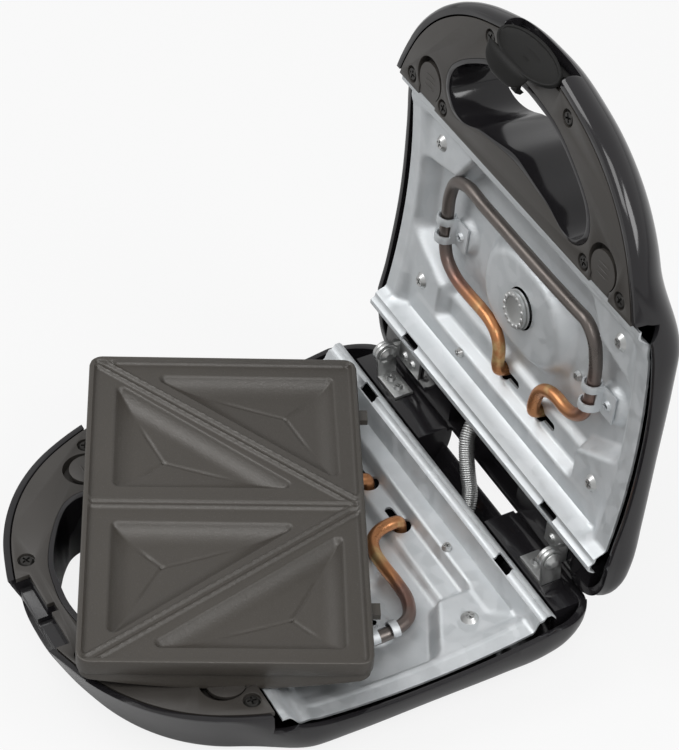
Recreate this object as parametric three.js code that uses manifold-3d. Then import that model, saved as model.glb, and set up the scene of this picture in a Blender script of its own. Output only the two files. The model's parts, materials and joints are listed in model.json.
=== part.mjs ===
// Sandwich maker, open, with one removable plate lying across the base.
// Millimetres, +Z up, front towards -Y. The hinge axis runs along X.
// Each half is drawn face up: depth runs up from its parting plane, away from the plates.
import * as THREE from 'three';
import { mergeVertices } from 'three/addons/utils/BufferGeometryUtils.js';
import Module from 'manifold-3d';

const wasm = await Module();
wasm.setup();

const gap = 0.3;
const weld = 0.0001;
const turn = 2 * Math.PI;
const lidOpenAngle = 96.716 * Math.PI / 180;
const lidPlane = -0.755;
const basePlane = -3.68;
const fewFacets = 8;
const someFacets = 12;
const roundFacets = 16;
const manyFacets = 24;

// case
const caseHalfWidth = 117.5;
const caseLength = 253.5;
const caseRear = -12;
const caseFront = caseRear + caseLength;
const caseMiddleShare = 0.51085;
const caseReachShare = 0.32345;
const caseMiddle = caseRear + caseMiddleShare * caseLength;
const caseReach = caseReachShare * (caseHalfWidth + caseLength);
const toolReach = 60;
const caseWall = 3;
const handleRearShare = 0.69034;
const handleRear = caseRear + handleRearShare * caseLength;
const handleBlend = 22;
const lidCrown = 7;
const sideWallDepth = 13;
const roundSteps = 5;
// how far each wall turns in, how deep it goes, how square the turn is and how full
const baseForm = {
  side: { inset: 20.4, start: sideWallDepth, depth: 38.8, power: 2.68, swell: -2.2 },
  handle: { inset: 15, start: 0, depth: 35.2, power: 1.72, swell: -4.6 },
};
const lidForm = {
  side: { inset: 27.1, start: sideWallDepth, depth: 34.8, power: 1.94, swell: 3.6 },
  handle: { inset: 33.5, start: 0, depth: 30.1, power: 1.41, swell: 7.1 },
};
const caseOutlineShares = [
  [0, 1], [0.157, 0.996], [0.315, 0.978], [0.451, 0.956], [0.596, 0.92], [0.723, 0.873],
  [0.834, 0.811], [0.909, 0.746], [0.963, 0.679], [0.992, 0.615], [1, 0.53], [1, 0.35],
  [1, 0.18], [0.996, 0.1], [0.975, 0.055], [0.93, 0.022], [0.86, 0.003], [0.78, 0], [0.4, 0], [0, 0],
];

// side arch of the rim
const archRear = 18;
const archPlay = 12;
const archFront = handleRear - archPlay;
const archEndDepth = 10.4;
const archRise = 5.6;
const archSteps = 12;
const rearRimDepth = 11.3;
const frontStepDepth = 12;

// handle cover
const coverInset = 3.9;
const coverThickness = 2.5;
const coverStep = 1.8;
const coverRear = handleRear - coverStep;
const seatGap = 0.3;
const openingWidthShare = 0.56766;
const openingRearShare = 0.71677;
const openingLengthShare = 0.20513;
const openingMiddleShare = 0.81657;
const openingHalfWidth = openingWidthShare * caseHalfWidth;
const openingRear = caseRear + openingRearShare * caseLength;
const openingLength = openingLengthShare * caseLength;
const openingMiddle = caseRear + openingMiddleShare * caseLength;
const openingShares = [
  [0, 1], [0.21, 0.971], [0.399, 0.919], [0.555, 0.833], [0.735, 0.694], [0.862, 0.573],
  [0.96, 0.438], [1, 0.29], [0.99, 0.179], [0.93, 0.073], [0.847, 0.01], [0.741, 0], [0.667, 0.023],
  [0.547, 0.083], [0.31, 0.137], [0, 0.179],
];
const lipWidth = 3.4;
const funnelTaper = 3;
const funnelShift = 1.6;

// release buttons
const buttonXShare = 0.70468;
const buttonMiddleShare = 0.74675;
const buttonX = buttonXShare * caseHalfWidth;
const buttonMiddle = caseRear + buttonMiddleShare * caseLength;
const buttonRadius = 9.4;
const buttonHalfWidth = 8.6;
const buttonStep = 0.6;
const buttonRear = handleRear + buttonStep;
const buttonTop = 1;
const buttonThickness = 4.6;
const buttonTravel = 3.4;
const pocketRadius = buttonRadius + buttonTravel + gap;
const pocketHalfWidth = buttonHalfWidth + gap;
const pocketFloor = buttonTop + buttonThickness + gap;
const pocketWall = 1.1;
const ribLength = 10;
const ribWidth = 1;
const ribHeight = 0.5;
const ribPitch = 2.6;
const ribCount = 3;
const hookWidth = 9;
const hookLength = 3.2;
const hookHeight = 2;

// heater
const heaterWidthShare = 0.61702;
const heaterLengthShare = 0.32702;
const heaterRearShare = 0.19921;
const heaterHalfWidth = heaterWidthShare * caseHalfWidth;
const heaterLength = heaterLengthShare * caseLength;
const heaterRear = caseRear + heaterRearShare * caseLength;
const heaterTop = 14;
const heaterDrop = 19;
const heaterRadius = 3.3;
const heaterSteps = 56;
const heaterShares = [
  [0.24, 0, 1], [0.24, 0, 0.63], [0.24, 0.007, 0.44], [0.241, 0.03, 0.28], [0.244, 0.0775, 0.2],
  [0.25, 0.15, 0.19], [0.27, 0.21, 0.2], [0.32, 0.265, 0.21], [0.41, 0.3, 0.22],
  [0.52, 0.308, 0.23], [0.65, 0.303, 0.238], [0.79, 0.315, 0.237], [0.917, 0.38, 0.226],
  [0.975, 0.505, 0.221], [0.983, 0.65, 0.184], [0.974, 0.815, 0.084], [0.917, 0.94, 0.021],
  [0.8, 0.998, 0.005], [0.621, 0.999, 0], [0.276, 0.995, 0], [0, 0.99, 0],
];
// the loop sits to one side of the middle, its two legs to the other
const loopShift = -3;
const legShift = 8.7;
const shiftShares = [0.35, 0.9];
const legShare = 0.24;
const slotX = legShare * heaterHalfWidth;
const slotLength = 12.3;
const slotRadius = 5.2;
const slotTailHalf = 2.2;
const bushingRadius = 5.4;
const bushingLength = 5;

// plate
const plateLength = 221.3;
const plateWidth = 138.8;
const plateXShare = -0.13191;
const plateHingeGap = 17.59;
const plateLift = 9.6;
const plateYaw = 154.9 * Math.PI / 180;
const plateTiltShort = 3.04 * Math.PI / 180;
const plateTiltLong = 1.78 * Math.PI / 180;
const plateForward = plateHingeGap
  + (plateLength * Math.abs(Math.sin(plateYaw)) + plateWidth * Math.abs(Math.cos(plateYaw))) / 2;
const plateCorner = 7;
const plateWallDepth = 8.9;
const plateSkirt = 2.6;
const plateSkirtBow = 5;
const plateStep = 0.8;
const plateSheet = 2.6;
const plateRim = 3.4;
const panelDepth = 2.5;
const pocketDepth = 8.4;
const pocketCrease = 0.9;
const pocketInset = 5.5;
const pocketCorner = 9;
const pocketCornerSteps = 3;
const cupWall = 1.8;
const ridgeHeight = 1.1;
const ridgeWidth = 2;
const ridgeSpread = 5.4;
const plateLugX = 70.5;
const plateLugWidth = 8;
const plateLugLength = 4.5;
const plateLugHeight = 3;
const plateLugDepth = 4;
const notchX = 82.8;
const notchWidth = 12;
const notchDepth = 1.4;
const notchHeight = 3;
const innerPocketShares = [[-0.793, 0.113], [-0.793, 0.777], [0.47, 0.113]];
const outerPocketShares = [[0.821, 0.886], [0.836, 0.217], [-0.476, 0.886]];

// tray
const trayPlay = 6.1;
const trayHalfWidth = caseHalfWidth - trayPlay;
const trayRear = 12;
const trayStep = 2.6;
const trayFront = coverRear - trayStep;
const traySheet = 1.3;
const trayFloor = 25.6;
const trayShelf = 15.8;
const trayFrontDepth = 3.6;
const trayRidgeDepth = 3;
const trayColumnShares = [0, 0.14, 0.27, 0.36, 0.46, 0.6, 0.72, 0.83, 0.87, 0.91, 1];
const trayRowShares = [
  0, 0.02, 0.045, 0.065, 0.15, 0.168, 0.245, 0.268, 0.32, 0.38, 0.44, 0.51, 0.59, 0.67, 0.77, 0.86,
  0.92, 0.985, 1,
];
const flangeShares = [0.83, 0.91];
const padHalfShares = [0.5, 0.6];
const rearPadShares = [0.35, 0.28];
const frontPadShares = [0.7, 0.77];
const shelfRowShares = [0.168, 0.15];
const shelfDepth = 15;
const bandShares = [0.68, 0.6];
const bandRowShares = [0.268, 0.245];
const bandDepth = 21.8;
const frontWallShares = [0.86, 0.985];
const rearWallShares = [0.065, 0.022];
const recessWidthShare = 0.3234;
const recessLengthShare = 0.09862;
const recessMiddleShare = 0.39211;
const recessHalfLength = recessWidthShare * caseHalfWidth;
const recessHalfWidth = recessLengthShare * caseLength;
const recessMiddle = caseRear + recessMiddleShare * caseLength;
const recessRidge = 3;
const recessRidgeShare = 0.14;
const clipPadRadius = 10;
const clipPadShares = [0.8, 1.2];
const clipPadDepth = 22.4;
const gutterHoleWidth = 13;
const gutterHoleRear = 15.8;
const gutterHoleFront = 20;

// heater clips
const clipPlay = 1;
const clipHeaterShare = 0.9793;
const clipX = clipHeaterShare * heaterHalfWidth;
const clipDepth = 17.9;
const clipInner = heaterRadius + clipPlay;
const clipSheet = 1;
const clipArm = 4;
const clipSpread = 11;
const clipFootLength = 10.5;
const clipCentre = (side) => side * clipX + loopShift;
const clipSpots = [-1, 1].map((side) => clipCentre(side) + clipFootLength);
const clipForwardShare = 0.38659;
const clipPadV = caseRear + clipForwardShare * caseLength;
const clipOpenShare = 0.14;

// thermostat
const capRadius = 11;
const capTop = 18.3;
const capHeight = 2.2;
const capDimple = 6;
const capDimpleDepth = 0.8;
const capStem = 3;
const capTravel = 1.5;
const stemHole = 3.6;
const thermostatTop = 27.6;
const thermostatHeight = 6;
const thermostatRadius = 12;

// hinge
const lugXShare = 0.72647;
const lugX = lugXShare * caseHalfWidth;
const lugSheet = 2;
const lugRadius = 6.5;
const lugGap = 0.3;
const pinRadius = 2.5;
const pinRunning = 0.1;
const pinHeadRadius = 4.6;
const pinHeadHeight = 1.6;
const pinTailShare = 0.8;
const washerRadius = 5;
const washerHeight = 0.9;
const bracketInnerShare = 0.54043;
const bracketOuterShare = 0.85106;
const bracketInner = bracketInnerShare * caseHalfWidth;
const bracketOuter = bracketOuterShare * caseHalfWidth;
const bracketHalfDepth = 6;
const bracketSheet = 1.6;
const bracketScrewShares = [0.12, 0.32];
const bracketScrewV = 1.6;
const bracketDepth = rearRimDepth - gap - bracketSheet;
const towerInnerShare = 0.29362;
const towerOuterShare = 0.88511;
const towerInner = towerInnerShare * caseHalfWidth;
const towerOuter = towerOuterShare * caseHalfWidth;
const towerRear = -10;
const towerFront = 8;
const towerWall = 3;
const rearGapDepth = 25;

// latch
const latchSetback = 3.2;
const latchMiddle = caseFront - latchSetback;
const latchHeight = -2.9;
const latchTilt = 30 * Math.PI / 180;
const latchHalfWidth = 24.6;
const latchHalfHeight = 8.9;
const latchThickness = 3;
const latchFacets = 22;
const latchRim = 1.6;
const latchRimHeight = 0.7;
const latchPinSetback = 7;
const latchPinV = caseFront - latchPinSetback;
const latchPinS = 6;
const latchPinRadius = 1.5;
const latchBarrel = 3;
const latchBarrelInset = 2.6;
const latchBarrelHalf = latchHalfWidth - latchBarrelInset;
const latchPlay = 1;
const latchPocketHalf = latchHalfWidth + latchPlay;
const latchBlockWall = 3.4;
const latchBlockHalf = latchPocketHalf + latchBlockWall;
const latchPocketLength = 13.5;
const latchPocketRear = caseFront - latchPocketLength;
const latchPocketDepth = 12.5;
const latchLipHalf = 17;
const latchLipShares = [
  [0.179, 0.662], [0.237, 0.789], [0.449, 0.944], [0.643, 1], [0.7, 0.93], [0.662, 0.838],
  [0.449, 0.789], [0.304, 0.634], [0.232, 0.528],
];
const latchReach = 20.7;
const latchDrop = 14.2;
const latchNibHalf = 2.2;
const latchNibShares = [
  [0.087, -0.014], [0.087, 0.282], [0.498, 0.472], [0.932, 0.563], [1, 0.366], [0.952, 0.239],
  [0.874, 0.394], [0.498, 0.303], [0.304, 0.07],
];
const catchSetback = 13.5;
const catchRear = caseFront - catchSetback;
const catchHalf = 18;
const catchDepth = 8;
const lipRecessSetback = 8.1;
const lipRecessRear = caseFront - lipRecessSetback;
const lipRecessDepth = 14.5;
const faceRecess = 3.6;
const faceRecessRear = caseFront - faceRecess;
const faceRecessDepth = 7;
const nibSlotPlay = 0.8;
const nibSlotHalf = latchNibHalf + nibSlotPlay;
const nibSlotSetback = 17.1;
const nibSlotRear = caseFront - nibSlotSetback;
const nibSlotDepth = 11.2;

// screws, as [x, forward] pairs
const outerScrewShare = 0.82766;
const innerScrewShare = 0.56255;
const outerScrewStep = 6.1;
const innerScrewStep = 5.7;
const frontScrewPlay = 9.55;
const frontScrewShare = 0.93688;
const coverScrews = [
  [outerScrewShare * caseHalfWidth, coverRear + outerScrewStep],
  [innerScrewShare * caseHalfWidth, coverRear + innerScrewStep],
  [latchPocketHalf + frontScrewPlay, caseRear + frontScrewShare * caseLength],
];
const trayScrewShares = [[0.72426, 0.56252], [0.72426, 0.22288]];
const shelfScrewShares = [-0.3634, 0.16884];
const recessScrewInset = 30.5;
const recessScrewStep = 6.0;
const caseSpot = ([x, v]) => [x * caseHalfWidth, caseRear + v * caseLength];
const trayScrews = trayScrewShares.map(caseSpot);
const shelfScrew = caseSpot(shelfScrewShares);
const recessScrew = [clipSpots[1] - recessScrewInset, clipPadV - recessScrewStep];
const coverHead = 4;
const coverHeadSink = 0.1;
const coverHeadHeight = 1.5;
const trayHead = 4.6;
const smallHead = 2.8;
const smallScrewLift = 2.4;
const screwHeadHeight = 1.9;
const screwFaceShare = 0.72;
const screwFacets = 9;
const screwShank = 1.6;
const screwLength = 8;
const screwClear = 0.4;
const crossLength = 4.4;
const crossShare = 0.65;
const crossWidth = 1;
const crossDepth = 1;
const bossRadius = 4.4;
const coverBoss = 2.9;

// feet, inlet, lenses, inner parts, conduit
const footShares = [[0.71489, 0.6075], [0.71489, 0.1499]];
const footSpots = footShares.map(caseSpot);
const footRadius = 9;
const footHeight = 6;
const footSocket = 1.5;
const footHoleFacets = 18;
const inletXShare = 0.62979;
const inletX = inletXShare * caseHalfWidth;
const inletSink = 1.4;
const inletDepth = 24;
const inletRadius = 4;
const inletBore = 2.6;
const inletLength = 9;
const lensX = 9;
const lensForwardShare = 0.62327;
const lensV = caseRear + lensForwardShare * caseLength;
const lensRadius = 2.6;
const lensHeight = 4;
const fuseForwardShare = 0.44181;
const fuseV = caseRear + fuseForwardShare * caseLength;
const fuseDepth = 30.6;
const fuseRadius = 3;
const fuseLength = 24;
const blockXShare = 0.4766;
const blockX = blockXShare * caseHalfWidth;
const blockLength = 26;
const blockWidth = 14;
const blockHeight = 6;
const conduitRadius = 4.6;
const conduitRings = 16;
const conduitXShare = 0.21277;
const conduitReach = 36.3;
// forward and height along the sleeve
const conduitShares = [
  [0.1928, -0.8264], [0.0964, -0.551], [-0.0275, -0.2204], [-0.2755, 0.0275], [-0.551, 0.1377],
  [-0.8072, 0.1625],
];

// mesh helpers

const toSolid = (geometry) => {
  const plain = geometry.index ? geometry.clone() : geometry;
  plain.deleteAttribute('normal');
  plain.deleteAttribute('uv');
  const merged = mergeVertices(plain, weld);
  const mesh = new wasm.Mesh({
    numProp: 3,
    vertProperties: new Float32Array(merged.attributes.position.array),
    triVerts: new Uint32Array(merged.index.array),
  });
  return new wasm.Manifold(mesh);
};

const toGeometry = (solid) => {
  const mesh = solid.getMesh();
  const geometry = new THREE.BufferGeometry();
  geometry.setAttribute('position', new THREE.BufferAttribute(new Float32Array(mesh.vertProperties), 3));
  geometry.setIndex(new THREE.BufferAttribute(new Uint32Array(mesh.triVerts), 1));
  return geometry;
};

const join = (...solids) => solids.reduce((sum, next) => sum.add(next));
const cut = (body, ...tools) => tools.reduce((rest, tool) => rest.subtract(tool), body);

// a point of a half: x, forward distance and depth
const at = (x, forward, depth) => new THREE.Vector3(x, -forward, depth);

// signed volume of an indexed mesh
const volumeOf = (points, index) => {
  let sum = 0;
  for (let i = 0; i < index.length; i += 3) {
    const [a, b, c] = [points[index[i]], points[index[i + 1]], points[index[i + 2]]];
    sum += a.dot(new THREE.Vector3().crossVectors(b, c));
  }
  return sum;
};

// closed skin over rings of equal length, capped by fans to the two end points
const loft = (rings, firstPoint, lastPoint) => {
  const count = rings[0].length;
  const points = [...rings.flat(), firstPoint, lastPoint];
  const index = [];
  for (let r = 0; r + 1 < rings.length; r += 1) {
    for (let i = 0; i < count; i += 1) {
      const next = (i + 1) % count;
      const [a, b] = [r * count + i, r * count + next];
      const [c, d] = [a + count, b + count];
      index.push(a, b, d, a, d, c);
    }
  }
  const last = (rings.length - 1) * count;
  for (let i = 0; i < count; i += 1) {
    const next = (i + 1) % count;
    index.push(points.length - 2, next, i);
    index.push(points.length - 1, last + i, last + next);
  }
  if (volumeOf(points, index) < 0) index.reverse();
  const geometry = new THREE.BufferGeometry().setFromPoints(points);
  geometry.setIndex(index);
  return toSolid(geometry);
};

const middleOf = (ring) => ring.reduce((sum, p) => sum.add(p), new THREE.Vector3())
  .divideScalar(ring.length);
const loftClosed = (rings) => loft(rings, middleOf(rings[0]), middleOf(rings[rings.length - 1]));

const shapeOf = (pairs) => new THREE.Shape(pairs.map(([x, y]) => new THREE.Vector2(x, y)));

// slab of a plan outline given as [x, forward], between two depths
const slab = (pairs, low, high) => {
  const shape = shapeOf(pairs.map(([x, forward]) => [x, -forward]));
  const geometry = new THREE.ExtrudeGeometry(shape, { depth: high - low, bevelEnabled: false });
  return toSolid(geometry.translate(0, 0, low));
};

// bar along X of a side outline given as [forward, depth]
const acrossX = (pairs, low, high) => {
  const shape = shapeOf(pairs.map(([forward, depth]) => [-forward, depth]));
  const geometry = new THREE.ExtrudeGeometry(shape, { depth: high - low, bevelEnabled: false });
  geometry.translate(0, 0, low);
  const basis = new THREE.Matrix4().makeBasis(
    new THREE.Vector3(0, 1, 0), new THREE.Vector3(0, 0, 1), new THREE.Vector3(1, 0, 0));
  return toSolid(geometry.applyMatrix4(basis));
};

const box = (x0, x1, forward0, forward1, low, high) => toSolid(new THREE.BoxGeometry(
  x1 - x0, forward1 - forward0, high - low).translate(
  (x0 + x1) / 2, -(forward0 + forward1) / 2, (low + high) / 2));

const drum = (radius, low, high, facets) => new THREE.CylinderGeometry(radius, radius, high - low, facets)
  .rotateX(Math.PI / 2).translate(0, 0, (low + high) / 2);
const peg = (x, forward, radius, low, high, facets = fewFacets) => toSolid(
  drum(radius, low, high, facets).translate(x, -forward, 0));
const pegX = (x0, x1, forward, height, radius, facets = roundFacets) => toSolid(
  drum(radius, x0, x1, facets).rotateY(Math.PI / 2).translate(0, -forward, height));

// solid of revolution about the depth axis from [radius, depth] pairs
const turned = (pairs, facets) => {
  const profile = pairs.map(([radius, depth]) => new THREE.Vector2(radius, depth));
  const geometry = new THREE.LatheGeometry(profile, facets).rotateX(Math.PI / 2);
  const merged = mergeVertices(geometry.deleteAttribute('normal').deleteAttribute('uv'), weld);
  const points = [];
  for (let i = 0; i < merged.attributes.position.count; i += 1) {
    points.push(new THREE.Vector3().fromBufferAttribute(merged.attributes.position, i));
  }
  const index = [...merged.index.array];
  if (volumeOf(points, index) < 0) index.reverse();
  merged.setIndex(index);
  return toSolid(merged);
};

const ease = (from, to, value) => {
  const share = Math.min(1, Math.max(0, (value - from) / (to - from)));
  return share * share * (3 - 2 * share);
};
const mix = (a, b, share) => a + (b - a) * share;
const mirrored = (pairs) => [...pairs, ...pairs.slice(1, -1).reverse().map(([x, y]) => [-x, y])];
const sides = [-1, 1];

// outlines

const caseOutline = mirrored(caseOutlineShares.map(caseSpot));
const openingOutline = mirrored(openingShares.map(
  ([x, v]) => [x * openingHalfWidth, openingRear + v * openingLength]));
const scaledBy = (pairs, middle, reach, grow) => pairs.map(([x, v]) => {
  const share = 1 + grow / reach;
  return [x * share, Math.max(middle + (v - middle) * share, caseRear)];
});
const openingBy = (grow, shift) => openingOutline.map(([x, v]) => {
  const run = Math.hypot(x, v - openingMiddle);
  return [x + grow * x / run, v + shift + grow * (v - openingMiddle) / run];
});

// offset and depth of a wall at a share of its turn, from the side to the flat
const wallAt = ({ inset, start, depth, power, swell }, share) => {
  const angle = share * Math.PI / 2;
  return [
    swell * Math.sin(share * Math.PI) - inset * (1 - Math.cos(angle) ** (2 / power)),
    start + (depth - start) * Math.sin(angle) ** (2 / power),
  ];
};

// rings from the edge to the flat, drawn in by the shell's own thickness
const caseRings = (form, shrink, edge) => {
  const rings = [scaledBy(caseOutline, caseMiddle, caseReach, -shrink).map(([x, v]) => at(x, v, edge))];
  for (let i = 0; i <= roundSteps; i += 1) {
    const [sideGrow, sideDepth] = wallAt(form.side, i / roundSteps);
    const [handleGrow, handleDepth] = wallAt(form.handle, i / roundSteps);
    rings.push(caseOutline.map(([x, v]) => {
      const share = ease(handleRear - handleBlend, handleRear + handleBlend, v);
      const grow = mix(sideGrow, handleGrow, share) - shrink;
      const depth = mix(sideDepth, handleDepth, share);
      const [[sx, sv]] = scaledBy([[x, v]], caseMiddle, caseReach, grow);
      return at(sx, sv, depth * (1 - shrink / toolReach));
    }));
  }
  return rings;
};

// notch of the base that takes the latch: its face, lip and nib
const catchCuts = () => [
  box(-catchHalf, catchHalf, catchRear, 2 * caseFront, -caseWall, catchDepth),
  box(-catchHalf, catchHalf, lipRecessRear, 2 * caseFront, -caseWall, lipRecessDepth),
  box(-latchPocketHalf, latchPocketHalf, faceRecessRear, 2 * caseFront, -caseWall, faceRecessDepth),
  box(-nibSlotHalf, nibSlotHalf, nibSlotRear, caseFront, -caseWall, nibSlotDepth),
];

const archAt = (forward) => {
  const half = (archFront - archRear) / 2;
  const share = (forward - archRear - half) / half;
  return archEndDepth + archRise * Math.max(0, 1 - share * share);
};

// case shells

const makeShell = (form, crown, isLid) => {
  const outer = caseRings(form, 0, -gap);
  const inner = caseRings(form, caseWall, -caseWall);
  const flat = form.side.depth + crown;
  const outerSolid = loft(outer, middleOf(outer[0]), at(0, caseMiddle, flat));
  const innerSolid = loft(inner, middleOf(inner[0]), at(0, caseMiddle, flat - caseWall));
  const arch = [];
  for (let i = 0; i <= archSteps; i += 1) {
    const forward = mix(archRear, archFront, i / archSteps);
    arch.push([forward, archAt(forward)]);
  }
  const seatCut = cut(
    slab(scaledBy(caseOutline, caseMiddle, caseReach, gap - coverInset), -caseWall,
      coverThickness + seatGap),
    slab(openingBy(-gap, 0), -toolReach, toolReach),
    box(-2 * caseHalfWidth, 2 * caseHalfWidth, 2 * caseRear, handleRear, -toolReach, toolReach));
  const rimCut = acrossX([
    [2 * caseRear, -caseWall], [2 * caseRear, rearRimDepth], [caseWall, rearRimDepth], ...arch,
    [coverRear, frontStepDepth], [handleRear, frontStepDepth], [handleRear, -caseWall],
  ], -2 * caseHalfWidth, 2 * caseHalfWidth);
  const faceCut = box(-2 * caseHalfWidth, 2 * caseHalfWidth, 2 * caseRear, 2 * caseLength, -toolReach, 0);
  const funnelRings = [
    openingBy(-gap, 0).map(([x, v]) => at(x, v, -gap)),
    openingBy(-gap - funnelTaper, funnelShift).map(([x, v]) => at(x, v, toolReach)),
  ];
  const holeRings = [
    openingBy(-lipWidth, 0).map(([x, v]) => at(x, v, -caseWall)),
    openingBy(-lipWidth, 0).map(([x, v]) => at(x, v, caseWall)),
    openingBy(-lipWidth - funnelTaper, funnelShift).map(([x, v]) => at(x, v, toolReach + caseWall)),
  ];
  const kept = [loftClosed(funnelRings)];
  const pilots = [];
  for (const side of sides) {
    for (const [x, v] of coverScrews) {
      kept.push(peg(side * x, v, coverBoss, coverThickness + seatGap, toolReach));
      pilots.push(peg(side * x, v, screwShank + screwClear, 0, coverThickness + screwLength + gap));
    }
    for (const [x, v] of trayScrews) {
      const seat = trayShelf + traySheet + gap;
      kept.push(peg(side * x, v, bossRadius, seat, toolReach));
      pilots.push(peg(side * x, v, screwShank + screwClear, 0, seat + screwLength + gap));
    }
    const [towerX0, towerX1] = side < 0 ? [-towerOuter, -towerInner] : [towerInner, towerOuter];
    kept.push(cut(
      box(towerX0, towerX1, towerRear, towerFront, rearRimDepth, toolReach),
      box(towerX0 + towerWall, towerX1 - towerWall, towerRear + towerWall, 2 * towerFront,
        rearRimDepth + 2 * towerWall, toolReach - towerWall)));
    for (const share of bracketScrewShares) {
      const x = side * mix(bracketInner, bracketOuter, side < 0 ? 1 - share : share);
      const v = side < 0 ? -bracketScrewV : bracketScrewV;
      kept.push(peg(x, v, bossRadius, rearRimDepth, toolReach - caseWall, roundFacets));
      pilots.push(peg(x, v, screwShank + screwClear, 0, rearRimDepth + screwLength));
    }
  }
  const blockRear = isLid ? latchPocketRear - caseWall : catchRear - 2 * caseWall;
  kept.push(box(-latchBlockHalf, latchBlockHalf, blockRear, caseFront, coverThickness + gap,
    form.handle.depth));
  const cavity = cut(innerSolid, ...kept);
  const rearCut = box(-towerInner, towerInner, 2 * caseRear, towerFront + towerWall, -caseWall,
    rearGapDepth);
  let shell = cut(outerSolid, cavity, loftClosed(holeRings), rimCut, faceCut, seatCut, rearCut, ...pilots);
  if (isLid) {
    const pinDepth = latchPinS - lidPlane;
    shell = cut(shell,
      box(-latchPocketHalf, latchPocketHalf, latchPocketRear, 2 * caseFront, -caseWall, latchPocketDepth),
      pegX(-latchBlockHalf + gap, latchBlockHalf - gap, latchPinV, pinDepth, latchPinRadius + gap));
    for (const side of sides) {
      shell = cut(shell, peg(side * lensX, lensV, lensRadius + gap, caseWall, toolReach, roundFacets));
    }
  } else {
    shell = cut(shell, ...catchCuts());
    for (const side of sides) {
      for (const [x, v] of footSpots) {
        shell = cut(shell, peg(side * x, v, footRadius + gap, form.side.depth - footSocket, toolReach,
          footHoleFacets));
      }
    }
    shell = cut(shell, toSolid(drum(inletRadius + 2 * gap, caseWall, -2 * caseRear, roundFacets)
      .rotateX(-Math.PI / 2).translate(inletX, 0, inletDepth)));
  }
  return largest(shell);
};

// the largest connected piece, without loose slivers
const largest = (solid) => {
  const parts = solid.decompose();
  return parts.reduce((best, part) => (part.volume() > best.volume() ? part : best));
};

// handle covers

const makeCover = (isLid) => {
  const front = scaledBy(caseOutline, caseMiddle, caseReach, -coverInset);
  const outline = slab(front, 0, coverThickness);
  const rearCut = box(-2 * caseHalfWidth, 2 * caseHalfWidth, 2 * caseRear, coverRear, -caseWall, toolReach);
  let cover = cut(outline, rearCut, slab(openingOutline, -caseWall, toolReach));
  const cupTop = pocketFloor + pocketWall;
  for (const side of sides) {
    const round = peg(side * buttonX, buttonMiddle, pocketRadius + pocketWall, gap, cupTop, manyFacets);
    const channel = box(side * buttonX - pocketHalfWidth - pocketWall,
      side * buttonX + pocketHalfWidth + pocketWall, coverRear, buttonMiddle, gap, cupTop);
    cover = join(cover, round, channel);
  }
  for (const side of sides) {
    cover = cut(cover,
      peg(side * buttonX, buttonMiddle, pocketRadius, -caseWall, pocketFloor, manyFacets),
      box(side * buttonX - pocketHalfWidth, side * buttonX + pocketHalfWidth,
        coverRear - caseWall, buttonMiddle, -caseWall, pocketFloor));
    for (const [x, v] of coverScrews) {
      cover = cut(cover,
        peg(side * x, v, screwShank + screwClear, -caseWall, toolReach),
        peg(side * x, v, coverHead + screwClear, -caseWall, coverHeadSink + coverHeadHeight + gap,
          someFacets));
    }
  }
  return cut(cover, ...(isLid ? [box(-latchPocketHalf, latchPocketHalf, latchPocketRear, 2 * caseFront,
    -caseWall, toolReach)] : catchCuts()));
};

const makeButton = () => {
  const body = join(
    peg(0, buttonMiddle, buttonRadius, buttonTop, buttonTop + buttonThickness, manyFacets),
    box(-buttonHalfWidth, buttonHalfWidth, buttonRear, buttonMiddle, buttonTop,
      buttonTop + buttonThickness));
  const trimmed = cut(body, box(-2 * buttonRadius, 2 * buttonRadius, coverRear - 2 * buttonRadius,
    buttonRear, -caseWall, toolReach));
  const hook = box(-hookWidth / 2, hookWidth / 2, buttonRear - hookLength, buttonRear + hookLength,
    buttonTop + gap, buttonTop + gap + hookHeight);
  let button = join(trimmed, hook);
  for (let i = 0; i < ribCount; i += 1) {
    const v = buttonMiddle + (i - (ribCount - 1) / 2) * ribPitch;
    button = join(button, box(-ribLength / 2, ribLength / 2, v - ribWidth / 2, v + ribWidth / 2,
      buttonTop - ribHeight, buttonTop + gap));
  }
  return button;
};

// trays

const trayDepthAt = (x, v) => {
  const across = Math.abs(x) / trayHalfWidth;
  const along = (v - trayRear) / (trayFront - trayRear);
  const padShare = ease(...padHalfShares, across) * Math.max(
    ease(...rearPadShares, along), ease(...frontPadShares, along));
  const bandShare = ease(...bandShares, across) * ease(...bandRowShares, along);
  const shelfShare = ease(...shelfRowShares, along);
  let depth = trayFloor;
  depth = mix(depth, bandDepth, bandShare);
  depth = mix(depth, trayShelf, padShare);
  depth = mix(depth, shelfDepth, shelfShare);
  const reach = Math.hypot(x / recessHalfLength, (v - recessMiddle) / recessHalfWidth);
  const ridge = (reach - 1) / recessRidgeShare;
  depth -= recessRidge * Math.exp(-ridge * ridge) * (1 - padShare) * (1 - shelfShare) * (1 - bandShare);
  const padReach = Math.min(...clipSpots.map((spot) => Math.hypot(x - spot, v - clipPadV))) / clipPadRadius;
  depth = mix(depth, Math.min(depth, clipPadDepth), 1 - ease(...clipPadShares, padReach));
  depth = mix(depth, archAt(v), ease(...flangeShares, across));
  depth = mix(depth, trayFrontDepth, ease(...frontWallShares, along));
  depth = mix(depth, trayRidgeDepth, ease(...rearWallShares, along));
  return depth;
};

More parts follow.
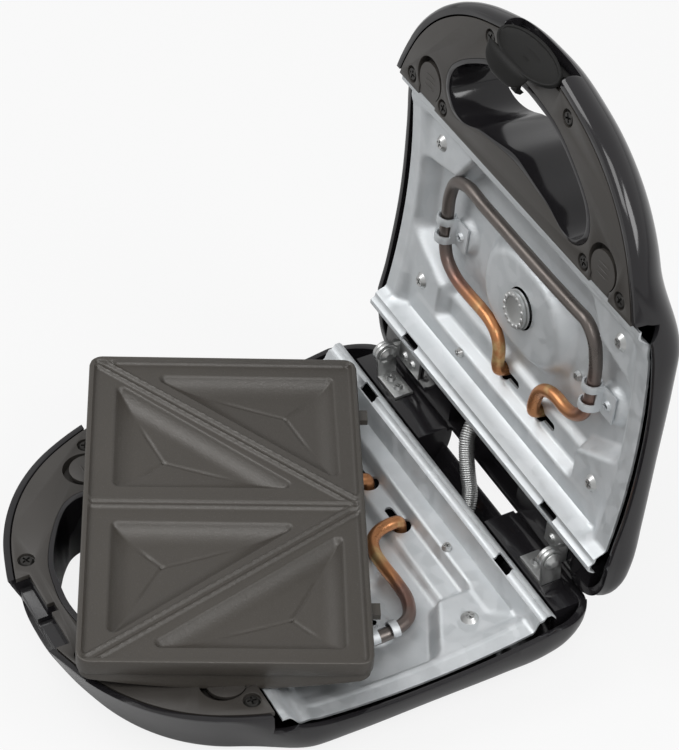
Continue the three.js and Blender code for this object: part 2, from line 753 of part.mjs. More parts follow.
const makeTray = () => {
  const columns = [...trayColumnShares.slice(1).reverse().map((share) => -share), ...trayColumnShares];
  const rows = trayRowShares;
  const [across, along] = [columns.length - 1, rows.length - 1];
  const geometry = new THREE.BoxGeometry(across, along, 1, across, along, 1);
  const place = geometry.attributes.position;
  for (let i = 0; i < place.count; i += 1) {
    const column = Math.round(place.getX(i) + across / 2);
    const row = Math.round(place.getY(i) + along / 2);
    const x = columns[column] * trayHalfWidth;
    const v = mix(trayFront, trayRear, 1 - rows[along - row]);
    const depth = trayDepthAt(x, v) + (place.getZ(i) > 0 ? traySheet : 0);
    place.setXYZ(i, x, -v, depth);
  }
  let tray = toSolid(geometry);
  for (const side of sides) {
    tray = cut(tray,
      peg(side * slotX + legShift, heaterRear, slotRadius, 0, toolReach),
      box(side * slotX + legShift, side * slotX + legShift + slotLength, heaterRear - slotTailHalf,
        heaterRear + slotTailHalf, 0, toolReach),
      peg(side * slotX + legShift + slotLength, heaterRear, slotTailHalf, 0, toolReach, fewFacets),
      box(side * plateLugX - gutterHoleWidth / 2, side * plateLugX + gutterHoleWidth / 2,
        gutterHoleRear, gutterHoleFront, 0, toolReach));
    for (const [x, v] of trayScrews) {
      tray = cut(tray, peg(side * x, v, screwShank + screwClear, 0, toolReach));
    }
  }
  for (const [x, v] of [shelfScrew, recessScrew, ...clipSpots.map((spot) => [spot, clipPadV])]) {
    tray = cut(tray, peg(x, v, screwShank + screwClear, 0, toolReach));
  }
  tray = cut(tray, peg(0, recessMiddle, stemHole, 0, toolReach, roundFacets));
  return largest(tray);
};

// heater, clips, thermostat

const makeHeater = () => {
  const half = (side) => heaterShares.map(([x, v, d]) => at(
    side * x * heaterHalfWidth + mix(legShift, loopShift, ease(...shiftShares, x)),
    heaterRear + v * heaterLength, heaterTop + d * heaterDrop));
  const points = [...half(-1).slice(0, -1), ...half(1).reverse().slice(1)];
  const path = new THREE.CatmullRomCurve3(points, false, 'centripetal');
  const circle = new THREE.Shape().absarc(0, 0, heaterRadius, 0, turn);
  const geometry = new THREE.ExtrudeGeometry(circle, {
    steps: heaterSteps, extrudePath: path, bevelEnabled: false, curveSegments: 4,
  });
  const low = trayFloor + traySheet + gap;
  return join(toSolid(geometry), ...sides.map((side) => peg(
    side * slotX + legShift, heaterRear, bushingRadius, low, low + bushingLength, someFacets)));
};

const makeClip = (side) => {
  const x0 = clipCentre(side);
  const y0 = clipPadV;
  const outer = clipInner + clipSheet;
  let clip = null;
  for (const arm of sides) {
    const forward = y0 + arm * clipSpread / 2;
    const ring = cut(
      toSolid(drum(outer, -clipArm / 2, clipArm / 2, someFacets).rotateX(Math.PI / 2)
        .translate(x0, -forward, clipDepth)),
      toSolid(drum(clipInner, -clipArm, clipArm, someFacets).rotateX(Math.PI / 2)
        .translate(x0, -forward, clipDepth)));
    const mouth = box(x0 - 2 * outer, x0, forward - clipArm, forward + clipArm,
      clipDepth - clipOpenShare * outer, clipDepth + 2 * outer);
    const hook = cut(ring, mouth);
    clip = clip ? join(clip, hook) : hook;
  }
  const footLow = clipPadDepth - gap - clipSheet;
  const inner = x0 + clipInner;
  const reach = (clipSpread + clipArm) / 2;
  clip = join(clip,
    box(inner, inner + clipFootLength + clipSheet, y0 - reach, y0 + reach, footLow, footLow + clipSheet),
    box(inner, inner + clipSheet, y0 - reach, y0 + reach, clipDepth, footLow + clipSheet));
  return join(clip, makeScrew(x0 + clipFootLength, clipPadV, smallHead,
    footLow - screwHeadHeight + gap, screwLength / 2));
};

const makeCap = () => {
  const low = capTop + capHeight;
  return turned([
    [0, capTop + capDimpleDepth], [capDimple, capTop + capDimpleDepth], [capDimple + capDimpleDepth, capTop],
    [capRadius - capDimpleDepth, capTop], [capRadius, capTop + capDimpleDepth], [capRadius, low],
    [capStem, low], [capStem, thermostatTop - capTravel - gap], [0, thermostatTop - capTravel - gap],
  ], manyFacets);
};

const makeThermostat = () => peg(0, recessMiddle, thermostatRadius, thermostatTop,
  thermostatTop + thermostatHeight, roundFacets);

// screws

// head top at the given depth, shank running deeper; the recess is a cross
const makeScrew = (x, v, head, top, length, height = screwHeadHeight) => {
  const body = turned([
    [0, top], [head * screwFaceShare, top], [head, top + height],
    [screwShank, top + height], [screwShank, top + height + length],
    [0, top + height + length],
  ], screwFacets).translate([x, -v, 0]);
  const reach = Math.min(crossLength / 2, head * crossShare);
  return cut(body,
    box(x - reach, x + reach, v - crossWidth / 2, v + crossWidth / 2, top - crossDepth, top + crossDepth),
    box(x - crossWidth / 2, x + crossWidth / 2, v - reach, v + reach, top - crossDepth, top + crossDepth));
};

const coverScrewAt = (side, [x, v]) => makeScrew(side * x, v, coverHead, coverHeadSink,
  screwLength, coverHeadHeight);
const trayScrewAt = (side, [x, v]) => makeScrew(side * x, v, trayHead,
  trayDepthAt(x, v) - screwHeadHeight - gap, screwLength);

// hinge

// bracket seen in its half: plate on the tower, lug reaching to the hinge axis
const makeBracket = (side, lugLow, axisDepth, hole) => {
  const [x0, x1] = side < 0 ? [-bracketOuter, -bracketInner] : [bracketInner, bracketOuter];
  let bracket = join(
    box(x0, x1, -bracketHalfDepth, bracketHalfDepth, bracketDepth, bracketDepth + bracketSheet),
    box(lugLow, lugLow + lugSheet, -lugRadius, lugRadius, axisDepth, bracketDepth + bracketSheet),
    pegX(lugLow, lugLow + lugSheet, 0, axisDepth, lugRadius));
  bracket = cut(bracket, pegX(lugLow - lugSheet, lugLow + 2 * lugSheet, 0, axisDepth, hole));
  for (const share of bracketScrewShares) {
    const x = side * mix(bracketInner, bracketOuter, side < 0 ? 1 - share : share);
    bracket = join(bracket, makeScrew(x, side < 0 ? -bracketScrewV : bracketScrewV, smallHead,
      bracketDepth - screwHeadHeight + gap, screwLength / 2));
  }
  return bracket;
};

const baseLugAt = (side) => side * lugX - lugSheet / 2;
const lidLugAt = (side) => baseLugAt(side) - lugGap - lugSheet;

const makePin = (side) => {
  const headLow = baseLugAt(side) + lugSheet + washerHeight + gap;
  const tail = lidLugAt(side) - gap - pinHeadHeight;
  return join(
    pegX(tail + gap, headLow + pinHeadHeight / 2, 0, 0, pinRadius),
    pegX(headLow - washerHeight, headLow, 0, 0, washerRadius),
    toSolid(new THREE.CylinderGeometry(pinHeadRadius / 2, pinHeadRadius, pinHeadHeight, roundFacets)
      .rotateZ(-Math.PI / 2).translate(headLow + pinHeadHeight / 2, 0, 0)),
    pegX(tail, tail + pinHeadHeight, 0, 0, pinTailShare * pinHeadRadius));
};

// latch, in the closed position of the lid

const makeLatch = () => {
  const half = latchThickness / 2;
  const oval = drum(1, -half, half, latchFacets).scale(latchHalfWidth, latchHalfHeight, 1);
  const dish = drum(1, half - latchRimHeight, half + latchRimHeight, latchFacets)
    .scale(latchHalfWidth - latchRim, latchHalfHeight - latchRim, 1);
  const faceGeometry = toGeometry(cut(toSolid(oval), toSolid(dish)));
  // local x across, local y up the face, local z along its outward normal
  const normal = new THREE.Vector3(0, -Math.cos(latchTilt), -Math.sin(latchTilt));
  const across = new THREE.Vector3(1, 0, 0);
  const upward = new THREE.Vector3().crossVectors(normal, across);
  faceGeometry.translate(0, 0, -half);
  faceGeometry.applyMatrix4(new THREE.Matrix4().makeBasis(across, upward, normal));
  faceGeometry.translate(0, -latchMiddle, latchHeight);
  const lip = acrossX(latchLipShares.map(
    ([v, s]) => [latchMiddle - v * latchReach, -s * latchDrop]),
  -latchLipHalf, latchLipHalf);
  const nib = acrossX(latchNibShares.map(
    ([v, s]) => [latchMiddle - v * latchReach, -s * latchDrop]),
  -latchNibHalf, latchNibHalf);
  const barrel = pegX(-latchBarrelHalf, latchBarrelHalf, latchPinV, latchPinS, latchBarrel);
  const arm = acrossX([
    [latchPinV - latchBarrel, latchPinS], [latchPinV + latchBarrel, latchPinS],
    [latchMiddle + half, latchHeight + latchThickness],
    [latchMiddle - latchThickness, latchHeight],
  ], -latchBarrelHalf, latchBarrelHalf);
  return cut(join(toSolid(faceGeometry), lip, nib, arm, barrel),
    pegX(-2 * latchBarrelHalf, 2 * latchBarrelHalf, latchPinV, latchPinS, latchPinRadius + gap));
};

const makeLatchPin = () => pegX(-latchBlockHalf + 2 * gap, latchBlockHalf - 2 * gap, latchPinV, latchPinS,
  latchPinRadius);

// plate, in its own axes: x along, y towards the latch side, z up from the rim

const roundedRing = (corners, radius, steps) => {
  const points = [];
  const count = corners.length;
  for (let i = 0; i < count; i += 1) {
    const [before, here, after] = [corners[(i + count - 1) % count], corners[i], corners[(i + 1) % count]];
    const p = new THREE.Vector2(...here);
    const toBefore = new THREE.Vector2(...before).sub(p).normalize();
    const toAfter = new THREE.Vector2(...after).sub(p).normalize();
    const half = Math.acos(toBefore.dot(toAfter)) / 2;
    const middle = toBefore.clone().add(toAfter).normalize().multiplyScalar(radius / Math.sin(half)).add(p);
    const start = p.clone().addScaledVector(toBefore, radius / Math.tan(half)).sub(middle);
    const finish = p.clone().addScaledVector(toAfter, radius / Math.tan(half)).sub(middle);
    const from = Math.atan2(start.y, start.x);
    let sweep = Math.atan2(finish.y, finish.x) - from;
    if (sweep > Math.PI) sweep -= turn;
    if (sweep < -Math.PI) sweep += turn;
    for (let k = 0; k <= steps; k += 1) {
      const angle = from + sweep * k / steps;
      points.push([middle.x + radius * Math.cos(angle), middle.y + radius * Math.sin(angle)]);
    }
  }
  return points;
};

const roundedBlock = (length, width, radius, low, high) => {
  const [x, y] = [length / 2, width / 2];
  const ring = roundedRing([[-x, -y], [x, -y], [x, y], [-x, y]], radius, pocketCornerSteps);
  const geometry = new THREE.ExtrudeGeometry(shapeOf(ring), { depth: high - low, bevelEnabled: false });
  return toSolid(geometry.translate(0, 0, low));
};

const makePlate = () => {
  const skirtLow = -plateWallDepth - plateSkirt - plateSkirtBow;
  let plate = join(
    roundedBlock(plateLength, plateWidth, plateCorner, -plateWallDepth, 0),
    roundedBlock(plateLength - 2 * plateStep, plateWidth - 2 * plateStep, plateCorner, skirtLow,
      plateStep - plateWallDepth));
  plate = cut(plate,
    roundedBlock(plateLength - 2 * plateRim, plateWidth - 2 * plateRim, plateCorner - plateStep,
      -panelDepth, plateRim),
    roundedBlock(plateLength - 2 * plateRim, plateWidth - 2 * plateRim, plateCorner - plateStep,
      2 * skirtLow, -panelDepth - plateSheet));
  const bow = [];
  for (let i = 0; i <= archSteps; i += 1) {
    const share = 2 * i / archSteps - 1;
    bow.push([share * plateWidth / 2, -plateWallDepth - plateSkirt - plateSkirtBow * (1 - share * share)]);
  }
  const bowCut = acrossX([[-plateWidth, 2 * skirtLow], [-plateWidth, -plateWallDepth - plateSkirt], ...bow,
    [plateWidth, -plateWallDepth - plateSkirt], [plateWidth, 2 * skirtLow]], -plateLength, plateLength);
  plate = cut(plate, bowCut);
  const ridges = [box(-ridgeWidth, ridgeWidth, -plateWidth, plateWidth, -panelDepth - gap,
    ridgeHeight - panelDepth)];
  const slope = Math.atan2(plateWidth - 2 * plateRim, plateLength / 2 - plateRim);
  for (const side of sides) {
    for (const spread of sides) {
      const bar = new THREE.BoxGeometry(plateLength, ridgeWidth, ridgeHeight + gap);
      bar.translate(0, spread * ridgeSpread / 2, (ridgeHeight - gap) / 2 - panelDepth);
      bar.rotateZ(side * slope);
      bar.translate(side * plateLength / 4, 0, 0);
      ridges.push(toSolid(bar));
    }
  }
  const ridgeSet = join(...ridges).intersect(
    roundedBlock(plateLength - plateRim, plateWidth - plateRim, plateCorner, -plateWallDepth, 0));
  plate = join(plate, ridgeSet);
  for (const side of sides) {
    for (const shares of [innerPocketShares, outerPocketShares]) {
      const corners = shares.map(([a, b]) => [side * b * plateLength / 2, -a * plateWidth / 2]);
      const middle = corners.reduce(([x, y], [cx, cy]) => [x + cx / corners.length, y + cy / corners.length],
        [0, 0]);
      const outline = roundedRing(corners, pocketCorner, pocketCornerSteps);
      const ringBy = (grow, height) => outline.map(([x, y]) => {
        const run = Math.hypot(x - middle[0], y - middle[1]);
        const share = 1 + grow / run;
        return new THREE.Vector3(mix(middle[0], x, share), mix(middle[1], y, share), height);
      });
      const centre = (height) => new THREE.Vector3(middle[0], middle[1], height);
      const cup = loft(
        [ringBy(cupWall, -panelDepth - gap), ringBy(cupWall - pocketInset, -pocketDepth - cupWall)],
        centre(-panelDepth - gap), centre(-pocketDepth - pocketCrease - cupWall));
      const hollow = loft([ringBy(0, -panelDepth), ringBy(-pocketInset, -pocketDepth)],
        centre(-panelDepth), centre(-pocketDepth - pocketCrease));
      const clear = loft([ringBy(0, ridgeHeight), ringBy(0, -panelDepth - gap / 2)],
        centre(ridgeHeight), centre(-panelDepth - gap / 2));
      plate = cut(join(plate, cup), hollow, clear);
    }
    const lugY = -plateWidth / 2;
    plate = join(plate, box(side * plateLugX - plateLugWidth / 2, side * plateLugX + plateLugWidth / 2,
      -lugY - plateRim / 2, -lugY + plateLugLength, -plateLugDepth - plateLugHeight, -plateLugDepth));
    plate = cut(plate, box(side * notchX - notchWidth / 2, side * notchX + notchWidth / 2,
      lugY - plateRim, lugY + notchDepth, -plateLugDepth - notchHeight, -plateLugDepth));
  }
  return largest(plate);
};

// small parts

const makeFoot = (x, v) => {
  const low = baseForm.side.depth - footSocket + gap;
  return turned([[0, low], [footRadius, low], [footRadius, low + footHeight - footSocket],
    [footRadius - footSocket, low + footHeight], [0, low + footHeight]], someFacets).translate([x, -v, 0]);
};

const makeInlet = () => {
  const bore = [inletBore, inletRadius, inletRadius + footSocket];
  const ring = turned([
    [bore[0], 0], [bore[2], 0], [bore[2], footSocket], [bore[1], footSocket + gap],
    [bore[1], inletLength], [bore[0], inletLength], [bore[0], 0],
  ], someFacets);
  const outside = footSocket + gap - caseRear - inletSink;
  return toSolid(toGeometry(ring).rotateX(Math.PI / 2).translate(inletX, outside, inletDepth));
};

const makeLens = (side) => {
  const share = (lensV - caseMiddle) / (caseFront - caseMiddle);
  const top = mix(lidForm.side.depth + lidCrown, lidForm.handle.depth, share);
  return peg(side * lensX, lensV, lensRadius, top - lensHeight, top + gap, roundFacets);
};

const makeConduit = () => {
  const path = new THREE.CatmullRomCurve3(conduitShares.map(([v, z]) => new THREE.Vector3(
    conduitXShare * caseHalfWidth, -v * conduitReach, z * conduitReach)), false, 'centripetal');
  const circle = new THREE.Shape().absarc(0, 0, conduitRadius, 0, turn);
  return toSolid(new THREE.ExtrudeGeometry(circle, {
    steps: conduitRings, extrudePath: path, bevelEnabled: false, curveSegments: 4,
  }));
};

// assembly

const assembly = new THREE.Group();
assembly.name = 'sandwich_maker';

const materialOf = (colour, roughness, metalness = 0) => new THREE.MeshStandardMaterial({
  color: new THREE.Color(...colour), roughness, metalness,
});
const shellLook = [[0.06, 0.058, 0.062], 0.25];
const coverLook = [[0.29, 0.27, 0.25], 0.5];
const trayLook = [[0.66, 0.69, 0.74], 0.42, 0.85];
const heaterLook = [[0.2, 0.18, 0.17], 0.45, 0.7];
const zincLook = [[0.62, 0.62, 0.6], 0.35, 0.9];
const screwLook = [[0.09, 0.09, 0.09], 0.4, 0.6];
const blackLook = [[0.07, 0.07, 0.07], 0.6];
const plateLook = [[0.29, 0.27, 0.25], 0.6];
const buttonLook = [[0.16, 0.15, 0.14], 0.5];

const put = (name, solid, look, place) => {
  const geometry = place(toGeometry(solid));
  geometry.computeVertexNormals();
  const mesh = new THREE.Mesh(geometry, materialOf(...look));
  mesh.name = name;
  assembly.add(mesh);
};

const toBase = (geometry) => geometry.rotateY(Math.PI).translate(0, 0, basePlane);
const toLid = (geometry) => geometry.translate(0, 0, lidPlane).rotateX(-lidOpenAngle);
const closedToLid = (geometry) => geometry.rotateX(-lidOpenAngle);
const asDrawn = (geometry) => geometry;
const capShift = (geometry) => geometry.translate(0, -recessMiddle, 0);

const halves = [['base', toBase], ['lid', toLid]];
const spotNames = ['outer', 'inner', 'front'];
const rowNames = ['front', 'rear'];
// the base half is turned over, so its own right is drawn at the left
const wordOf = (isLid, side) => ((isLid ? side : -side) < 0 ? 'left' : 'right');
const tray = makeTray();
const heater = makeHeater();
for (const [half, place] of halves) {
  const isLid = half === 'lid';
  put(`${half}_shell`, isLid ? makeShell(lidForm, lidCrown, isLid) : makeShell(baseForm, 0, isLid),
    shellLook, place);
  put(`${half}_handle_cover`, makeCover(isLid), coverLook, place);
  put(`${half}_tray`, tray, trayLook, place);
  put(`${half}_heater`, heater, heaterLook, place);
  coverScrews.forEach((spot, i) => sides.forEach((side) => put(
    `${half}_cover_screw_${spotNames[i]}_${wordOf(isLid, side)}`, coverScrewAt(side, spot), screwLook,
    place)));
  trayScrews.forEach((spot, i) => sides.forEach((side) => put(
    `${half}_tray_screw_${rowNames[i]}_${wordOf(isLid, side)}`, trayScrewAt(side, spot), zincLook, place)));
  for (const side of sides) {
    const word = wordOf(isLid, side);
    const button = makeButton().translate([side * buttonX, 0, 0]);
    put(`${half}_release_button_${word}`, button, buttonLook, place);
    put(`${half}_heater_clip_${word}`, makeClip(side), trayLook, place);
  }
  const spots = isLid ? [['shelf', shelfScrew], ['recess', recessScrew]] : [['shelf', shelfScrew]];
  for (const [word, [x, v]] of spots) {
    const top = trayDepthAt(x, v) - screwHeadHeight - smallScrewLift;
    put(`${half}_tray_screw_${word}`, makeScrew(x, v, smallHead, top, screwLength / 2), zincLook, place);
  }
}
for (const side of sides) {
  const word = side < 0 ? 'left' : 'right';
  const baseBracket = makeBracket(-side, -baseLugAt(side) - lugSheet, basePlane, pinRadius + gap);
  put(`base_hinge_bracket_${word}`, baseBracket, zincLook, toBase);
  const lidBracket = makeBracket(side, lidLugAt(side), -lidPlane, pinRadius + pinRunning);
  put(`lid_hinge_bracket_${word}`, lidBracket, zincLook, toLid);
  put(`hinge_pin_${word}`, makePin(side), zincLook, asDrawn);
}
put('thermostat_body', makeThermostat(), zincLook, toLid);
put('thermostat_cap', makeCap(), zincLook, (geometry) => toLid(capShift(geometry)));
put('latch', makeLatch(), blackLook, closedToLid);
put('latch_pin', makeLatchPin(), zincLook, closedToLid);
put('lamp_lens_red', makeLens(-1), [[0.6, 0.05, 0.03], 0.2], toLid);
put('lamp_lens_green', makeLens(1), [[0.05, 0.5, 0.1], 0.2], toLid);
for (const side of sides) {
  const word = side < 0 ? 'right' : 'left';
  footSpots.forEach(([x, v], i) => put(`foot_${rowNames[i]}_${word}`, makeFoot(side * x, v), blackLook,
    toBase));
}
put('cord_inlet', makeInlet(), blackLook, toBase);
put('thermal_fuse', toSolid(drum(fuseRadius, -fuseLength / 2, fuseLength / 2, someFacets)
  .rotateY(Math.PI / 2).translate(0, -fuseV, fuseDepth)), zincLook, toBase);
put('terminal_block', box(blockX - blockLength / 2, blockX + blockLength / 2, fuseV - blockWidth / 2,
  fuseV + blockWidth / 2, fuseDepth - blockHeight / 2, fuseDepth + blockHeight / 2), blackLook, toBase);
put('wire_conduit', makeConduit(), zincLook, asDrawn);
put('sandwich_plate', makePlate(), plateLook, (geometry) => geometry.applyMatrix4(
  new THREE.Matrix4().makeRotationFromEuler(new THREE.Euler(plateTiltShort, plateTiltLong, plateYaw, 'ZYX')))
  .translate(plateXShare * caseHalfWidth, -plateForward, plateLift));

// the origin goes under the middle of the object's bounds
const bounds = new THREE.Box3().setFromObject(assembly);
const middle = bounds.getCenter(new THREE.Vector3());
for (const mesh of assembly.children) mesh.geometry.translate(-middle.x, -middle.y, -bounds.min.z);

export default assembly;
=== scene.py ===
import json
import math
import bpy
import bmesh
from mathutils import Matrix, Vector

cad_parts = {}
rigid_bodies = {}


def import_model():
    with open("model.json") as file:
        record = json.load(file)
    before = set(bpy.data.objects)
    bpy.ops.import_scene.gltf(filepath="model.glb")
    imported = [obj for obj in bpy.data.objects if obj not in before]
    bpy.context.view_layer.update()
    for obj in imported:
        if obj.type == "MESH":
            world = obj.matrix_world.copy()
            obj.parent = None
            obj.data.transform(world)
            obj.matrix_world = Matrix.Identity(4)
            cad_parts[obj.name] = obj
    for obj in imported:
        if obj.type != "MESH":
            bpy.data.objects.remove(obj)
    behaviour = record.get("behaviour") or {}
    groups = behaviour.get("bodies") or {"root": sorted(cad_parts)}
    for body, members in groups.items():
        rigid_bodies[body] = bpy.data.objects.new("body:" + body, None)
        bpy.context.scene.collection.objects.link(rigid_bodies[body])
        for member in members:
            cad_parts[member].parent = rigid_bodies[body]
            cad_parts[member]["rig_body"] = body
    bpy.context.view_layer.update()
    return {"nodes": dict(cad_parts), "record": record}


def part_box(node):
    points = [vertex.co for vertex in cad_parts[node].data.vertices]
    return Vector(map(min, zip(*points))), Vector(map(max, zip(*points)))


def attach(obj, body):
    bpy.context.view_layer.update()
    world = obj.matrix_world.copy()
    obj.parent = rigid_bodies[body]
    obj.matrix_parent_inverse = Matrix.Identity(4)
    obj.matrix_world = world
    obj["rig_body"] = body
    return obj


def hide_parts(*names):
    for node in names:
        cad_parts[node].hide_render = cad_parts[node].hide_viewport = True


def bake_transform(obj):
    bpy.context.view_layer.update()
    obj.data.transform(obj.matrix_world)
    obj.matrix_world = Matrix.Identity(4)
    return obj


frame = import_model()
nodes = frame["nodes"]
mm = 0.001

# the hinge axis is the zero point that all places below are measured from
pinLow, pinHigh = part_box("hinge_pin_left")
shellLow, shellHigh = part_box("base_shell")
hinge = Vector(((shellLow.x + shellHigh.x) / 2, (pinLow.y + pinHigh.y) / 2, (pinLow.z + pinHigh.z) / 2))
lidAngle = math.radians(96.716)
lidPlane, basePlane = -0.755, -3.68  # parting planes of the two halves


def toWorld(point):  # millimetres from the hinge to metres in the frame
    return hinge + Vector(point) * mm


def lidPlace(x, forward, depth):  # a point of the open lid, depth away from the plates
    height = depth + lidPlane
    return toWorld((x, -forward * math.cos(lidAngle) + height * math.sin(lidAngle),
                    forward * math.sin(lidAngle) + height * math.cos(lidAngle)))


def basePlace(x, forward, depth):  # the base is the same half turned over
    return toWorld((-x, -forward, basePlane - depth))


def mix(low, high, share):
    return low + (high - low) * share


def ease(low, high, value):
    share = min(1.0, max(0.0, (value - low) / (high - low)))
    return share * share * (3 - 2 * share)


# camera, fitted to the photograph
camera = {"azimuth": 62.886, "elevation": 41.744, "roll": -0.148, "focalPixels": 2803.748,
          "pictureHeight": 750, "film": 36.0, "distance": 1418.678, "across": 63.735, "up": -39.266,
          "near": 0.05, "far": 20.0}
azimuth, elevation, roll = (math.radians(camera[key]) for key in ("azimuth", "elevation", "roll"))
lowered = math.cos(elevation)
back = Vector((math.sin(azimuth) * lowered, -math.cos(azimuth) * lowered, math.sin(elevation)))
level = Vector((math.cos(azimuth), math.sin(azimuth), 0))
upright = back.cross(level)
rightward = level * math.cos(roll) + upright * math.sin(roll)
upward = upright * math.cos(roll) - level * math.sin(roll)
lens = bpy.data.cameras.new("camera")
lens.sensor_width = camera["film"]
lens.lens = camera["focalPixels"] / camera["pictureHeight"] * camera["film"]
lens.clip_start, lens.clip_end = camera["near"], camera["far"]
eye = bpy.data.objects.new("camera", lens)
bpy.context.scene.collection.objects.link(eye)
turned = Matrix((rightward, upward, back)).transposed().to_4x4()
place = back * camera["distance"] - rightward * camera["across"] - upward * camera["up"]
eye.matrix_world = Matrix.Translation(toWorld(place)) @ turned
bpy.context.scene.camera = eye
print("camera set")


# shader helpers
class Flow:  # one shader socket that sums can be written with
    def __init__(self, look, socket):
        self.look, self.socket = look, socket

    def sum(self, operation, first, second):
        return self.look.add("ShaderNodeMath", {"operation": operation}, {0: first, 1: second})

    def __add__(self, other):
        return self.sum("ADD", self, other)

    def __radd__(self, other):
        return self.sum("ADD", other, self)

    def __sub__(self, other):
        return self.sum("SUBTRACT", self, other)

    def __rsub__(self, other):
        return self.sum("SUBTRACT", other, self)

    def __mul__(self, other):
        return self.sum("MULTIPLY", self, other)

    def __rmul__(self, other):
        return self.sum("MULTIPLY", other, self)

    def __truediv__(self, other):
        return self.sum("DIVIDE", self, other)

    def __rtruediv__(self, other):
        return self.sum("DIVIDE", other, self)


class Graph:  # nodes and links of one tree
    def add(self, kind, settings, sockets, output=0):
        node = self.tree.nodes.new(kind)
        for key, value in settings.items():
            setattr(node, key, value)
        for key, value in sockets.items():
            self.feed(node.inputs[key], value)
        return Flow(self, node.outputs[output])

    def feed(self, socket, value):
        for part in value if isinstance(value, list) else [value]:
            if isinstance(part, Flow):
                self.tree.links.new(part.socket, socket)
            else:
                socket.default_value = part


class Look(Graph):  # one material on a principled shader
    def __init__(self, name, **fixed):
        self.material = bpy.data.materials.new(name)
        self.material.use_nodes = True
        self.tree = self.material.node_tree
        self.tree.nodes.clear()
        self.surface = self.tree.nodes.new("ShaderNodeBsdfPrincipled")
        self.end = self.tree.nodes.new("ShaderNodeOutputMaterial")
        self.tree.links.new(self.surface.outputs[0], self.end.inputs["Surface"])
        for key, value in fixed.items():
            self.surface.inputs[key.replace("_", " ")].default_value = value

    def wear(self, **channels):
        for key, value in channels.items():
            self.feed(self.surface.inputs[key.replace("_", " ")], value)

    def coords(self, scale):
        place = self.add("ShaderNodeTexCoord", {}, {}, "Object")
        return self.add("ShaderNodeMapping", {}, {"Vector": place, "Scale": scale})

    def noise(self, size, detail, rough=0.5, stretch=(1, 1, 1)):  # size of its blotches in millimetres
        scale = tuple(part / (size * mm) for part in stretch)
        return self.add("ShaderNodeTexNoise", {}, {"Vector": self.coords(scale), "Scale": 1.0,
                                                   "Detail": detail, "Roughness": rough}, "Fac")

    def band(self, value, low, high, first=0.0, last=1.0):  # smooth step between two values
        return self.add("ShaderNodeMapRange", {"interpolation_type": "SMOOTHSTEP"},
                        {"Value": value, "From Min": low, "From Max": high, "To Min": first, "To Max": last})

    def tint(self, first, second, share):  # colours go through a mix, never through sums
        mixer = self.tree.nodes.new("ShaderNodeMix")
        mixer.data_type = "RGBA"
        for key, value in ((0, share), (6, first), (7, second)):
            self.feed(mixer.inputs[key], value if isinstance(value, (Flow, float, int)) else (*value, 1))
        return Flow(self, mixer.outputs[2])

    def relief(self, height, depth):  # depth in millimetres
        return self.add("ShaderNodeBump", {}, {"Height": height, "Distance": depth * mm, "Strength": 1.0})


# finishes
coats = {  # dark and pale colour, size of the clouds, roughness, grain and its depth
    "glossBlack": ((0.008, 0.0075, 0.0085), (0.014, 0.013, 0.0145), 38, (0.3, 0.8, 0.09, 0.17), (3.5, 2),
                   0.006),
    "satinGrey": ((0.030, 0.027, 0.024), (0.040, 0.036, 0.032), 26, (0.3, 0.7, 0.36, 0.46), (0.55, 3, 0.6),
                  0.018),
    "matteBlack": ((0.008, 0.008, 0.0076), (0.013, 0.0128, 0.0124), 14, (0.3, 0.7, 0.4, 0.52), (0.5, 3, 0.6),
                   0.02),
    "blackScrew": ((0.02, 0.019, 0.018), (0.05, 0.048, 0.045), 2.5, (0.3, 0.7, 0.3, 0.45), (2.5, 3), 0.01),
    "blackRubber": ((0.012, 0.012, 0.012), (0.022, 0.022, 0.021), 3, (0.3, 0.7, 0.6, 0.75), (3, 3), 0.03)}


def cloudy(name, **fixed):
    dark, pale, size, rough, grain, depth = coats[name]
    look = Look(name, **fixed)
    cloud = look.noise(size, 3)
    look.wear(Base_Color=look.tint(dark, pale, cloud), Roughness=look.band(cloud, *rough),
              Normal=look.relief(look.noise(*grain), depth))
    return look.material


def galvanised():
    look = Look("galvanised")
    cells = look.add("ShaderNodeTexVoronoi", {"feature": "F1"}, {"Vector": look.coords((150, 150, 150)),
                                                                "Scale": 1.0, "Randomness": 1.0}, "Color")
    spangle = look.add("ShaderNodeSeparateColor", {}, {"Color": cells}, "Red")
    streak = look.noise(9, 4, 0.6, (0.25, 1, 1))
    grime = look.noise(45, 4, 0.6)
    plain = look.tint((0.56, 0.585, 0.60), (0.62, 0.64, 0.655), spangle)
    stained = look.tint(plain, (0.5, 0.51, 0.52), look.band(grime, 0.52, 0.75, 0.0, 0.5))
    look.wear(Base_Color=stained, Metallic=0.78,
              Roughness=look.band(spangle * 0.5 + streak * 0.5, 0.2, 0.8, 0.48, 0.6),
              Normal=look.relief(spangle * 0.6 + streak, 0.012))
    return look.material


def brightZinc():
    look = Look("brightZinc")
    cloud = look.noise(6, 3)
    scratch = look.noise(1.2, 2, 0.5, (0.2, 1, 1))
    look.wear(Base_Color=look.tint((0.46, 0.465, 0.46), (0.54, 0.545, 0.54), cloud), Metallic=0.88,
              Roughness=look.band(scratch, 0.3, 0.7, 0.3, 0.38), Normal=look.relief(scratch, 0.002))
    return look.material


